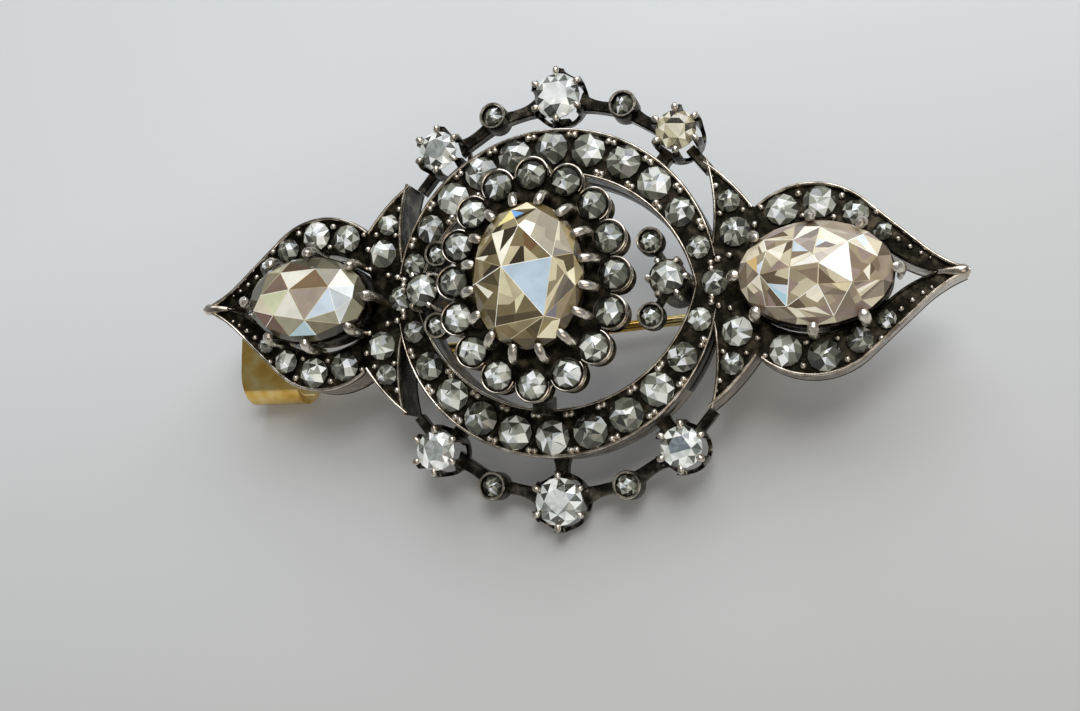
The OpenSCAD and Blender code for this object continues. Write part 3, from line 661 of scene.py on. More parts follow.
def small_rose_mesh(name, seed, tints, glints):
    """Most facets of a small stone are painted much alike, and one to three patches of them get a painted highlight.
    """
    chance = random.Random(seed + 500)
    turns = [chance.uniform(0, 2 * math.pi) for _ in range(glints)]
    flashes = [(d * math.cos(t + s), d * math.sin(t + s), tint) for t in turns for d, s, tint in FLASH]
    bm = ringed(SMALL_ROSE, 0.12, seed, tilt=0.02 * (seed % 3 - 1))
    paint(bm, chance, tints, flashes, rim=OUTER_TINTS)
    return finished(bm, name, rose_diamond)


moods = [(WHITE_TINTS, 3), (WHITE_TINTS, 2), (GREY_TINTS, 2), (GREY_TINTS, 1), (DARK_TINTS, 2)]
roses = [small_rose_mesh(f"rose_{i}", 40 + i, *moods[i % 5]) for i in range(15)]
print("facets of a small rose cut:", len(roses[0].polygons))

# %% [markdown]
# ## A tree that scatters
# Stones, grains and claws repeat in places that a rule gives. The tree puts one of several shapes on each
# point, turned and sized by the point's own attributes.

# %% Shapes on points
scatter_tree, scatter_in = new_tree("shapes_on_points", [("Shapes", "NodeSocketCollection")])
scatter_shapes = add(scatter_tree, "GeometryNodeCollectionInfo", {"Collection": scatter_in["Shapes"],
                                                                  "Separate Children": True,
                                                                  "Reset Children": True})
scatter_turn = add(scatter_tree, "GeometryNodeInputNamedAttribute", {"Name": "turn"}, data_type="FLOAT_VECTOR")
scatter_size = add(scatter_tree, "GeometryNodeInputNamedAttribute", {"Name": "size"}, data_type="FLOAT_VECTOR")
scatter_kind = add(scatter_tree, "GeometryNodeInputNamedAttribute", {"Name": "kind"}, data_type="INT")
scatter_spin = add(scatter_tree, "FunctionNodeEulerToRotation", {"Euler": scatter_turn.outputs["Attribute"]})
scatter_set = add(scatter_tree, "GeometryNodeInstanceOnPoints", {
    "Points": scatter_in["Geometry"], "Instance": scatter_shapes.outputs["Instances"], "Pick Instance": True,
    "Instance Index": scatter_kind.outputs["Attribute"], "Rotation": scatter_spin.outputs["Rotation"],
    "Scale": scatter_size.outputs["Attribute"]})
scatter_real = add(scatter_tree, "GeometryNodeRealizeInstances", {"Geometry": scatter_set.outputs["Instances"]})
add(scatter_tree, "NodeGroupOutput", {"Geometry": scatter_real.outputs["Geometry"]})


def shape_box(name, meshes):
    """A hidden collection of shapes. Numbers in the names keep their order."""
    box = bpy.data.collections.new(name)
    for i, mesh in enumerate(meshes):
        box.objects.link(bpy.data.objects.new(f"{name}_{i:02d}", mesh))
    return box


def scatter(name, box, places):
    """places are (position, euler turn, size, kind)."""
    mesh = bpy.data.meshes.new(name + "_places")
    mesh.from_pydata([tuple(p[0]) for p in places], [], [])
    turn = mesh.attributes.new("turn", "FLOAT_VECTOR", "POINT")
    turn.data.foreach_set("vector", [v for p in places for v in p[1]])
    size = mesh.attributes.new("size", "FLOAT_VECTOR", "POINT")
    size.data.foreach_set("vector", [v for p in places for v in p[2]])
    kind = mesh.attributes.new("kind", "INT", "POINT")
    kind.data.foreach_set("value", [p[3] for p in places])
    return grow(scatter_tree, name, mesh, {"Shapes": box})


# %% [markdown]
# ## The small stones
# Each small stone lies flat on its bed, held by grains. Their painted reflections are bright, grey or nearly
# dark by turns, so the shape, turn and cast change from stone to stone.

# %% Small stones of the ring, wings, drops and cluster
rose_box = shape_box("rose_cuts", roses)
ROSE_KINDS = len(roses)
ROSE_SPREAD = 1.04
SEAT_GAP = 0.03


def rose_places(stones, level, seed):
    chance = random.Random(seed)
    return [((x, y, level + SEAT_GAP), (0, 0, chance.uniform(0, 6.28)),
             (r * ROSE_SPREAD, r * ROSE_SPREAD, 1), chance.randrange(ROSE_KINDS))
            for x, y, r in stones]


RING_PITCH = 15.3
ring_table = [(0, 10, 1.14), (1, 10, 1.14), (2, 10, 1.14), (3, 10, 1.12), (4, 10.13, 0.97), (5, 10.35, 0.76)]


def ring_stones(up):
    stones = []
    for side in (-1, 1):
        for step, r, size in ring_table:
            if step > 0 or side > 0:
                t = math.radians(90 - side * RING_PITCH * step)
                stones.append((r * math.cos(t), up * r * math.sin(t), size))
    return stones


wing_table = [(12.5, 3.3, 0.97), (12.12, 5.4, 0.74)]
JUNCTION_STONE = (11.1, 0, 0.85)
drop_table = [(15.53, 4.66, 1.01), (17.95, 5.02, 1.03), (20.2, 4.13, 0.82), (21.85, 2.85, 0.6)]


def side_stones(table, side):
    return [(side * x, up * y, r) for up in (1, -1) for x, y, r in table]


stone_sets = [
    ("upper_ring_stones", ring_stones(1), BED, 3), ("lower_ring_stones", ring_stones(-1), BED, 4),
    ("left_wing_stones", side_stones(wing_table, -1) + [(-JUNCTION_STONE[0], 0, JUNCTION_STONE[2])], BED, 5),
    ("right_wing_stones", side_stones(wing_table, 1) + [JUNCTION_STONE], BED, 6),
    ("left_drop_stones", side_stones(drop_table, -1), DROP_BED, 7),
    ("right_drop_stones", side_stones(drop_table, 1), DROP_BED, 8)]
for node, stones, level, seed in stone_sets:
    piece(node + "_cut", [scatter(node, rose_box, rose_places(stones, level, seed))], [node],
          sharp_deg=0)

# %% [markdown]
# ## The cluster
# Sixteen stones stand round the centre stone on a scalloped plate. The plate's outline is the outermost of an
# oval and sixteen circles, seen from the middle. Each stone has a fine bezel wire, and a second wire runs
# round each scallop.

# %% Even places on an oval
CLUSTER_A, CLUSTER_B, CLUSTER_COUNT = 5.4, 6.9, 16


def even_angles(a, b, count, shift=0.0):
    """Angles at which points lie evenly along an oval's edge."""
    steps = 720
    lengths = [0.0]
    for i in range(steps):
        t0, t1 = 2 * math.pi * i / steps, 2 * math.pi * (i + 1) / steps
        lengths.append(lengths[-1] + math.hypot(a * (math.cos(t1) - math.cos(t0)), b * (math.sin(t1) - math.sin(t0))))
    angles = []
    for k in range(count):
        want = lengths[-1] * (k + shift) / count
        i = max(n for n in range(steps) if lengths[n] <= want)
        part = (want - lengths[i]) / (lengths[i + 1] - lengths[i])
        angles.append(2 * math.pi * (i + part) / steps)
    return angles


cluster_angles = even_angles(CLUSTER_A, CLUSTER_B, CLUSTER_COUNT)
claw_angles = even_angles(CLUSTER_A, CLUSTER_B, CLUSTER_COUNT, 0.5)
cluster_mids = [Vector((CLUSTER_A * math.cos(t), CLUSTER_B * math.sin(t))) for t in cluster_angles]
print("first cluster angles:", [round(math.degrees(t), 1) for t in cluster_angles[:4]])

# %% The scalloped plate and its wires
SCALLOP_R, CLUSTER_STONE_R = 1.12, 0.9
CLUSTER_BED, CLUSTER_TOP = 4.45, 4.75
CENTRE_A, CENTRE_B, CENTRE_SEAT = 3.7, 4.75, 5.3


def scallop_reach(angle):
    """The furthest that the oval or a scallop reaches from the middle in a direction."""
    way = Vector((math.cos(angle), math.sin(angle)))
    reach = 1 / math.hypot(way.x / CLUSTER_A, way.y / CLUSTER_B)
    for mid in cluster_mids:
        along = mid.dot(way)
        off = mid.length_squared - along * along
        if off < SCALLOP_R ** 2:
            reach = max(reach, along + math.sqrt(SCALLOP_R ** 2 - off))
    return way * reach


def oval_loft(name, mid, levels, steps, material, top_material=None):
    """A closed wall from (half width, half height, wall, level) rows, outside down and inside up."""
    bm = bmesh.new()
    rows = []
    outer = [(a, b, z) for a, b, wall, z in levels]
    inner = [(a - wall, b - wall, z) for a, b, wall, z in reversed(levels)]
    for a, b, z in outer + inner:
        rows.append([bm.verts.new((p.x, p.y, z)) for p in oval(mid, a, b, steps)])
    for upper, lower in zip(rows, rows[1:] + rows[:1]):
        for i in range(steps):
            j = (i + 1) % steps
            bm.faces.new([upper[i], upper[j], lower[j], lower[i]])
    mesh = bpy.data.meshes.new(name)
    bm.to_mesh(mesh)
    bm.free()
    mesh.materials.append(material)
    return mesh


scallop_edge = [scallop_reach(2 * math.pi * i / 640) for i in range(640)]
centre_hole = oval((0, 0), CENTRE_A - 0.5, CENTRE_B - 0.55, 96)
cluster_plate = plate("cluster_plate", scallop_edge, [centre_hole], lambda p: CLUSTER_BED,
                      [(0, 4.3), (0.02, 4.1), (0.3, 3.1)], lambda p, n: 2, back=3.0, grid=0.4)
cluster_lines = []
for mid, t in zip(cluster_mids, cluster_angles):
    cluster_lines.append((raised(spaced(arc(mid, CLUSTER_STONE_R + 0.09, 0, 360, 36)), 4.62), True, [1]))
bezels = wires("bezels", cluster_lines, 0.13, 0.34, dark_silver, 6)
scallop_lines = []
for mid in cluster_mids:
    out = math.degrees(math.atan2(mid.y * CLUSTER_A / CLUSTER_B, mid.x * CLUSTER_B / CLUSTER_A))
    scallop_lines.append((raised(arc(mid, SCALLOP_R - 0.02, out - 100, out + 100, 26), 4.64), False,
                          [0.7, 1, 1, 0.7]))
scallop_lines.append((raised(spaced([p * 0.995 for p in scallop_edge[::4]]), 4.16), True, [1]))
scallop_wires = wires("scallop_wires", scallop_lines, 0.18, 0.26, rubbed_silver, 8)
centre_wall = oval_loft("centre_wall", (0, 0), [(CENTRE_A + 0.05, CENTRE_B + 0.05, 0.5, CENTRE_SEAT - 0.02),
                                                (CENTRE_A + 0.02, CENTRE_B + 0.02, 0.5, 4.8),
                                                (CENTRE_A - 0.05, CENTRE_B - 0.05, 0.4, 4.0)], 96, dark_silver)
gallery = oval_loft("gallery", (0, 0), [(4.75, 6.15, 1.4, 3.1), (4.62, 6.02, 1.3, 2.6), (4.56, 5.96, 1.25, 1.6),
                                        (4.7, 6.1, 1.4, 1.35), (4.66, 6.06, 1.36, 1.2)], 96, worn_and_lit_silver)


def box_mesh(name, low, high, material, bevel=0.1):
    bm = bmesh.new()
    bmesh.ops.create_cube(bm, size=1)
    for v in bm.verts:
        v.co = [lo + (c + 0.5) * (hi - lo) for c, lo, hi in zip(v.co, low, high)]
    bmesh.ops.bevel(bm, geom=bm.edges, offset=bevel, segments=3, affect="EDGES", profile=0.5)
    mesh = bpy.data.meshes.new(name)
    bm.to_mesh(mesh)
    bm.free()
    mesh.materials.append(material)
    return mesh


legs = [box_mesh("leg", (-0.4, min(s * 7.3, s * 8.65), 0.04), (0.4, max(s * 7.3, s * 8.65), 3.3), dark_silver)
        for s in (1, -1)]

# %% [markdown]
# ## Claws
# A claw is a stalk that leans out of the wall and is pushed over the stone's edge, so its end is a bright
# rounded pad. One bent tapering peg, made once, is turned and set at every place round the centre stone.

# %% The pegs round the centre stone
def peg(name, path, material, steps=10):
    """A closed bent peg in the plane of x and z from (x, z, half width, half thickness) rows."""
    bm = bmesh.new()
    rows = []
    for k, (x, z, w, h) in enumerate(path):
        nx, nz = path[min(k + 1, len(path) - 1)][0] - path[max(k - 1, 0)][0], path[min(k + 1, len(path) - 1)][1] - path[max(k - 1, 0)][1]
        along = Vector((nx, nz)).normalized()
        rows.append([bm.verts.new((x - along.y * h * math.sin(t), w * math.cos(t), z + along.x * h * math.sin(t)))
                     for t in (2 * math.pi * i / steps for i in range(steps))])
    for a, b in zip(rows, rows[1:]):
        for i in range(steps):
            j = (i + 1) % steps
            bm.faces.new([a[i], a[j], b[j], b[i]])
    bm.faces.new(rows[0])
    bm.faces.new(list(reversed(rows[-1])))
    bmesh.ops.recalc_face_normals(bm, faces=bm.faces)
    mesh = bpy.data.meshes.new(name)
    bm.to_mesh(mesh)
    bm.free()
    mesh.materials.append(material)
    return mesh


centre_peg = peg("centre_peg", [(0.72, 4.1, 0.26, 0.2), (0.76, 4.8, 0.3, 0.26), (0.72, 5.3, 0.31, 0.3),
                                (0.56, 5.7, 0.31, 0.3), (0.34, 5.96, 0.31, 0.28), (0.1, 6.12, 0.3, 0.24),
                                (-0.1, 6.19, 0.26, 0.17), (-0.2, 6.19, 0.16, 0.08)], claw_silver)
peg_box = shape_box("pegs", [centre_peg])
peg_places = []
for t in claw_angles:
    out = math.atan2(math.sin(t) / CENTRE_B, math.cos(t) / CENTRE_A)
    peg_places.append(((CENTRE_A * math.cos(t), CENTRE_B * math.sin(t), 0), (0, 0, out), (1, 1, 1), 0))
pegs = scatter("centre_pegs", peg_box, peg_places)
piece("cluster_setting", [cluster_plate, bezels, scallop_wires, centre_wall, gallery, *legs, pegs],
      ["centre_setting"])
cluster_set = [(m.x, m.y, CLUSTER_STONE_R) for m in cluster_mids]
piece("cluster_stones_cut", [scatter("cluster_stones", rose_box, rose_places(cluster_set, CLUSTER_BED, 11))],
      ["cluster_stones"], sharp_deg=0)

# %% [markdown]
# ## The three large stones
# They are deep-domed rose cuts. Their many facets meet in a star near the middle, and light from the pale
# ground comes up through their open backs.

# %% Large stones
def split(bm, face, limit, chance):
    """Cuts a flat facet by chance lines into shards, until none is larger than the limit."""
    parts = [face]
    for _ in range(8):
        big = max(parts, key=lambda f: f.calc_area())
        if big.calc_area() < limit:
            break
        weights = [chance.uniform(0.3, 1) for _ in big.verts]
        middle = sum((v.co * w for v, w in zip(big.verts, weights)), Vector()) / sum(weights)
        way = (big.verts[0].co - middle).normalized()
        way.rotate(Matrix.Rotation(chance.uniform(0, math.pi), 3, big.normal))
        made = bmesh.ops.bisect_plane(bm, geom=[big, *big.edges, *big.verts], dist=1e-4, plane_co=middle,
                                      plane_no=way)
        parts = [f for f in parts if f.is_valid and f != big]
        parts += [g for g in made["geom"] if isinstance(g, bmesh.types.BMFace) and g not in parts]


def large_rose(name, size, crown_points, palette, marks, seed, material, limit):
    """size is (half width, half height, dome). Marks are (x, y, colour of a painted reflection, whether their facet
    stays whole).
    """
    a, b, dome = size
    tints, rim, girdle = palette
    chance = random.Random(seed)
    bm = bmesh.new()
    for count, radius, level in ((24, 0.93, 0), (24, 1, 0.2), (24, 1, 0.42)):
        for i in range(count):
            t = 2 * math.pi * i / count
            bm.verts.new((radius * math.cos(t), radius * math.sin(t), level))
    edge = [(0.9 * math.cos(t), 0.9 * math.sin(t)) for t in (2 * math.pi * (i + 0.5) / 12 for i in range(12))]
    for x, y in crown_points + [p for p in edge if min(math.dist(p, q) for q in crown_points) > 0.22]:
        height = math.sqrt(max(0, 1 - (math.hypot(x, y) / 1.01) ** 2)) ** 1.15
        bm.verts.new((x, y, 0.42 + dome * height * (1 + 0.025 * chance.uniform(-1, 1))))
    hull(bm)
    # The ridges between the top facets are bevelled into thin faces that are painted pale: painted highlights along
    # the edges.
    ridges = [e for e in bm.edges if all(f.normal.z > 0.3 for f in e.link_faces)]
    bright = set(bmesh.ops.bevel(bm, geom=ridges, offset=0.006, segments=1, affect="EDGES")["faces"])
    bm.normal_update()
    kept = []
    tops = [f for f in bm.faces if f.normal.z > 0.3 and f not in bright]
    for x, y, _, whole in marks:
        if whole:
            kept.append(min(tops, key=lambda f: (f.calc_center_median().x - x) ** 2
                            + (f.calc_center_median().y - y) ** 2))
    for face in tops:
        if face not in kept:
            split(bm, face, limit, chance)
    bm.normal_update()
    paint(bm, chance, tints, [m[:3] for m in marks], rim, girdle, bright, RIDGE_HIGHLIGHT_TINTS)
    bmesh.ops.scale(bm, vec=(a, b, 1), verts=bm.verts)
    print(name, "facets and shards:", len(bm.faces))
    return finished(bm, name, material)


def lifted(mesh, x, y, level):
    mesh.transform(Matrix.Translation((x, y, level)))
    return mesh


# Palettes for the crown, the rim and the girdle. Each mixes the stone's own colour with painted reflections: pale
# ones of the window, dark ones of the setting, and darker girdle tints as painted shade on the steep sides.
BROWN_TINTS = [("#998960", 5), ("#b8a880", 4), ("#6b5d40", 3), ("#453823", 2), ("#e0d3aa", 3), ("#fff9e4", 4)]
BROWN_RIM = [("#9d8b61", 4), ("#7c6a44", 4), ("#c2af7c", 3), ("#fbf2cf", 1)]
BROWN_GIRDLE = [("#5d4c2c", 3), ("#7c6840", 3), ("#3a2f1c", 2)]
CHAMPAGNE_TINTS = [("#f8f0da", 3), ("#e2d6b6", 3), ("#c3b392", 4), ("#a49077", 4), ("#7f6d55", 3), ("#bda597", 2),
                   ("#dfeaf2", 1)]
CHAMPAGNE_RIM = [("#bfae95", 4), ("#9c8a74", 4), ("#ece0c2", 2), ("#7a6a58", 2), ("#b39c90", 2)]
CHAMPAGNE_GIRDLE = [("#a99488", 3), ("#8b776b", 3), ("#66554b", 2)]
GREEN_TINTS = [("#f0edde", 2), ("#c6c2a4", 3), ("#a1977b", 4), ("#957e6c", 4), ("#6b5646", 3), ("#d8dfe1", 2)]
GREEN_RIM = [("#7b755e", 4), ("#5c5745", 4), ("#b2ae90", 2), ("#403c31", 2)]
GREEN_GIRDLE = [("#5a4c41", 3), ("#41372f", 3), ("#77685b", 1)]
# Pale tints for the painted highlights along the ridges.
RIDGE_HIGHLIGHT_TINTS = [("#fffdf2", 3), ("#efe2bd", 3), ("#cfbb8e", 3)]
# Marks put single painted reflections on facets: blue-white windows, a rainbow glint, pale flashes and dark patches.
centre_reflection_marks = [(0.2, -0.12, "#cfe3f1", 1), (0.62, -0.2, "#6b5f4b", 0), (-0.12, -0.38, "#f3ecc0", 0),
                (-0.36, -0.25, "#efe6bd", 0), (-0.25, 0.93, "#8fc4ff", 0), (-0.3, 0.84, "#fff1a0", 0),
                (-0.3, -0.66, "#5f4f3a", 0), (0.1, 0.35, "#8a6a45", 0), (0.58, -0.55, "#7a7183", 0)]
right_reflection_marks = [(0.33, 0.1, "#e2eefa", 1), (-0.38, -0.42, "#bfe6f2", 0), (0.02, -0.5, "#fff6dc", 0),
               (-0.05, 0.22, "#fffdf2", 0), (-0.45, 0.28, "#fff8e6", 0), (0.1, 0.66, "#f8e7c4", 0),
               (-0.85, 0.2, "#f2cf86", 0), (0.4, -0.42, "#f1e3b6", 0)]
left_reflection_marks = [(0.45, -0.2, "#dbe9f4", 1), (-0.05, -0.82, "#cfeaf2", 0), (-0.4, 0.1, "#e3e6bd", 0),
              (0.73, 0.02, "#c9d3d3", 0), (0.53, -0.36, "#dde3e0", 0), (0.0, 0.11, "#c8b7a6", 0),
              (-0.45, -0.4, "#9c7f70", 0), (-0.75, -0.2, "#ece5c6", 0), (0.1, 0.5, "#94795a", 0)]
centre_crown = [(-0.33, 0.07), (0.55, 0.17), (0.39, -0.6), (-0.5, -0.7), (-0.93, -0.12), (-0.05, 0.63), (0.62, 0.68),
                (-0.55, 0.55), (0.9, -0.2)]
right_crown = [(0, 0.27), (0.07, 0.1), (0.44, 0.5), (0.48, -0.28), (-0.6, 0.41), (-0.7, -0.04), (-0.36, -0.67),
               (0.59, -0.6), (0.8, 0.2), (0.1, 0.82), (-0.25, 0.58), (0.05, -0.3), (-0.3, 0.05)]
left_crown = [(-0.16, 0.17), (0.5, 0.2), (0.6, -0.35), (0.1, -0.55), (-0.45, -0.4), (-0.7, 0.1), (-0.35, 0.6),
              (0.25, 0.65), (0.85, -0.05)]
SIDE_X, SIDE_SEAT = 17.6, 0.95
piece("centre_stone_cut", [lifted(large_rose("centre", (CENTRE_A, CENTRE_B, 1.75), centre_crown,
                                             (BROWN_TINTS, BROWN_RIM, BROWN_GIRDLE), centre_reflection_marks, 5, brown_diamond,
                                             0.07), 0, 0, CENTRE_SEAT + SEAT_GAP)],
      ["centre_stone"], sharp_deg=0)
piece("right_side_stone_cut", [lifted(large_rose("right", (4.8, 3.35, 1.5), right_crown,
                                                 (CHAMPAGNE_TINTS, CHAMPAGNE_RIM, CHAMPAGNE_GIRDLE), right_reflection_marks,
                                                 9, champagne_diamond, 0.045), SIDE_X, 0,
                                      SIDE_SEAT + SEAT_GAP)], ["right_side_stone"],
      sharp_deg=0)
piece("left_side_stone_cut", [lifted(large_rose("left", (4.5, 3.05, 1.5), left_crown,
                                                (GREEN_TINTS, GREEN_RIM, GREEN_GIRDLE), left_reflection_marks, 14,
                                                champagne_diamond, 0.26), -SIDE_X, 0,
                                     SIDE_SEAT + SEAT_GAP)], ["left_side_stone"],
      sharp_deg=0)

# %% [markdown]
# ## Settings of the side stones
# Each side stone sits on an oval wall that stands free in the drop's opening, and eight claws with round heads
# hold it.

# %% Oval walls and claws
SIDE_CLAW_ANGLES = [0, 54, 92, 138, 180, 222, 268, 306]
side_claw = peg("side_claw", [(0.38, -1.4, 0.26, 0.2), (0.46, 0.0, 0.32, 0.26), (0.5, 1.0, 0.34, 0.3),
                              (0.42, 1.5, 0.38, 0.34), (0.26, 1.84, 0.4, 0.36), (0.08, 2.02, 0.34, 0.28),
                              (-0.1, 2.1, 0.18, 0.12)], claw_silver)
side_claw_box = shape_box("side_claws", [side_claw])
side_parts = []
for side, a, b in ((1, 4.8, 3.35), (-1, 4.5, 3.05)):
    side_parts.append(oval_loft("side_wall", (side * SIDE_X, 0), [
        (a + 0.1, b + 0.1, 0.55, SIDE_SEAT - 0.02), (a + 0.1, b + 0.1, 0.55, 0.55), (a + 0.0, b + 0.0, 0.45, 0.2),
        (a - 0.02, b - 0.02, 0.4, -0.9), (a + 0.08, b + 0.08, 0.5, -1.2), (a + 0.08, b + 0.08, 0.5, -1.6)],
        120, dark_silver))
    places = []
    for deg in SIDE_CLAW_ANGLES:
        t = math.radians(deg if side > 0 else 180 - deg)
        out = math.atan2(math.sin(t) / b, math.cos(t) / a)
        places.append(((side * SIDE_X + a * math.cos(t), b * math.sin(t), 0), (0, 0, out), (1, 1, 1), 0))
    side_parts.append(scatter("side_claws", side_claw_box, places))
    side_parts.append(box_mesh("side_bridge", (min(side * 12.4, side * 13.5), -0.8, -1.6),
                               (max(side * 12.4, side * 13.5), 0.8, -0.8), dark_silver))
piece("side_settings", side_parts, ["silver_frame"])

# %% [markdown]
# ## Collets of the arcs
# The larger arc stones stand in collets: tapered cups, cut out below the stone into round arched windows, so
# that six narrow claws are left. The cup is turned first, and the windows are then cut through it.

# %% Collets with arched windows
ARC_MID = (0, 14.3, -1.8, 1.65)
ARC_END = (8.6, 10.75, -0.8, 1.4)
ARC_TUBE = (4.75, 13.2, -1.95, 1.0)
ARC_FOOT = -3.6
BASE_RING = 0.45


def lathe(name, profile, material, steps=48):
    """A closed body of revolution from a closed profile of (radius, level) points."""
    bm = bmesh.new()
    rows = [[bm.verts.new((r * math.cos(2 * math.pi * i / steps), r * math.sin(2 * math.pi * i / steps), z))
             for i in range(steps)] for r, z in profile]
    for a, b in zip(rows, rows[1:] + rows[:1]):
        for i in range(steps):
            j = (i + 1) % steps
            bm.faces.new([a[i], a[j], b[j], b[i]])
    bmesh.ops.recalc_face_normals(bm, faces=bm.faces)
    mesh = bpy.data.meshes.new(name)
    bm.to_mesh(mesh)
    bm.free()
    mesh.materials.append(material)
    return mesh


def prism(name, outline, length):
    """A closed prism along y from an outline of (x, z) points."""
    bm = bmesh.new()
    near = [bm.verts.new((x, -length, z)) for x, z in outline]
    far = [bm.verts.new((x, length, z)) for x, z in outline]
    bm.faces.new(near)
    bm.faces.new(list(reversed(far)))
    for i in range(len(outline)):
        j = (i + 1) % len(outline)
        bm.faces.new([near[j], near[i], far[i], far[j]])
    bmesh.ops.recalc_face_normals(bm, faces=bm.faces)
    mesh = bpy.data.meshes.new(name)
    bm.to_mesh(mesh)
    bm.free()
    return mesh


def carved(mesh, cutters, bevel):
    """Cuts closed shapes out of a mesh and softens the new edges."""
    thing = bpy.data.objects.new(mesh.name, mesh)
    bpy.context.scene.collection.objects.link(thing)
    tools = []
    for cutter in cutters:
        tool = bpy.data.objects.new(cutter.name, cutter)
        bpy.context.scene.collection.objects.link(tool)
        tools.append(tool)
        step = thing.modifiers.new("cut", "BOOLEAN")
        step.operation = "DIFFERENCE"
        step.solver = "EXACT"
        step.object = tool
    soft = thing.modifiers.new("soften", "BEVEL")
    soft.width = bevel
    soft.segments = 2
    soft.limit_method = "ANGLE"
    soft.angle_limit = math.radians(50)
    depsgraph = bpy.context.evaluated_depsgraph_get()
    result = bpy.data.meshes.new_from_object(thing.evaluated_get(depsgraph))
    for used in [thing, *tools]:
        bpy.data.objects.remove(used)
    return result


def collet(name, x, y, level, r):
    top = level + 0.35
    seat = level - 0.27
    cup = lathe(name, [(r + 0.3, top), (r + 0.46, seat), (r + 0.3, ARC_FOOT), (r + 0.02, ARC_FOOT),
                       (r + 0.16, seat - 0.2), (r - 0.12, seat - 0.12), (r - 0.12, seat), (r + 0.03, seat),
                       (r + 0.03, top)], dark_silver, 60)
    half = 0.33 * (r + 0.35)
    gap = 0.5 * r
    arch = (math.pi + math.pi * i / 14 for i in range(15))
    low = [(half * math.cos(t), ARC_FOOT + BASE_RING + half + half * math.sin(t)) for t in arch]
    window = low + [(half, seat), (gap, seat), (gap, top + 1), (-gap, top + 1), (-gap, seat), (-half, seat)]
    cutters = []
    for k in range(3):
        cutter = prism(f"window_{k}", window, 4)
        cutter.transform(Matrix.Rotation(math.radians(90 + 60 * k), 4, "Z"))
        cutters.append(cutter)
    made = carved(cup, cutters, 0.06)
    return lifted(made, x, y, 0)


arc_parts = []
for up in (1, -1):
    arc_parts.append(collet("mid_collet", ARC_MID[0], up * ARC_MID[1], ARC_MID[2], ARC_MID[3]))
    for side in (1, -1):
        arc_parts.append(collet("end_collet", side * ARC_END[0], up * ARC_END[1], ARC_END[2], ARC_END[3]))
bead = finished(ringed([(6, 0.5, -0.8, 0), (8, 0.95, -0.2, 0), (8, 0.95, 0.25, 0.5), (6, 0.6, 0.75, 0), (1, 0, 1, 0)],
                       0, 1), "bead", claw_silver)
bead_box = shape_box("beads", [bead])
bead_places = []
for up in (1, -1):
    for x, y, level, r in [ARC_MID, ARC_END, (-ARC_END[0], *ARC_END[1:])]:
        for k in range(6):
            t = math.radians(60 * k + 30)
            d = r + 0.1
            bead_places.append(((x + d * math.cos(t), up * y + d * math.sin(t), level + 0.36), (0, 0, t),
                                (0.34, 0.25, 0.24), 0))
arc_parts.append(scatter("collet_claw_tips", bead_box, bead_places))

# %% Tubes and bars of the arcs
def tube(name, x, y, r, low, seat, top, wall, material=dark_silver):
    return lifted(lathe(name, [(r - 0.04, top), (r, top - 0.06), (r, low + 0.1), (r - 0.1, low), (0.05, low),
                               (0.05, seat), (r - wall, seat), (r - wall, top - 0.05), (r - wall + 0.05, top)],
                        material), x, y, 0)


def bar(name, start, pull, stop, w_end, w_mid, low, high, material=dark_silver):
    """A flat curved bar that widens to both ends."""
    line = curve(start, pull, stop, 16)
    bm = bmesh.new()
    rows = []
    for i, p in enumerate(line):
        along = (line[min(i + 1, 16)] - line[max(i - 1, 0)]).normalized()
        across = Vector((-along.y, along.x))
        t = abs(2 * i / 16 - 1)
        w = w_mid + (w_end - w_mid) * t ** 2.5
        left, right = p + across * w, p - across * w
        soft = 0.1
        rows.append([bm.verts.new(c) for c in (
            (left.x, left.y, low + soft), (left.x - across.x * soft, left.y - across.y * soft, low),
            (right.x + across.x * soft, right.y + across.y * soft, low), (right.x, right.y, low + soft),
            (right.x, right.y, high - soft), (right.x + across.x * soft, right.y + across.y * soft, high),
            (left.x - across.x * soft, left.y - across.y * soft, high), (left.x, left.y, high - soft))])
    for a, b in zip(rows, rows[1:]):
        for i in range(8):
            j = (i + 1) % 8
            bm.faces.new([a[i], a[j], b[j], b[i]])
    bm.faces.new(rows[0])
    bm.faces.new(list(reversed(rows[-1])))
    bmesh.ops.recalc_face_normals(bm, faces=bm.faces)
    mesh = bpy.data.meshes.new(name)
    bm.to_mesh(mesh)
    bm.free()
    mesh.materials.append(material)
    return mesh


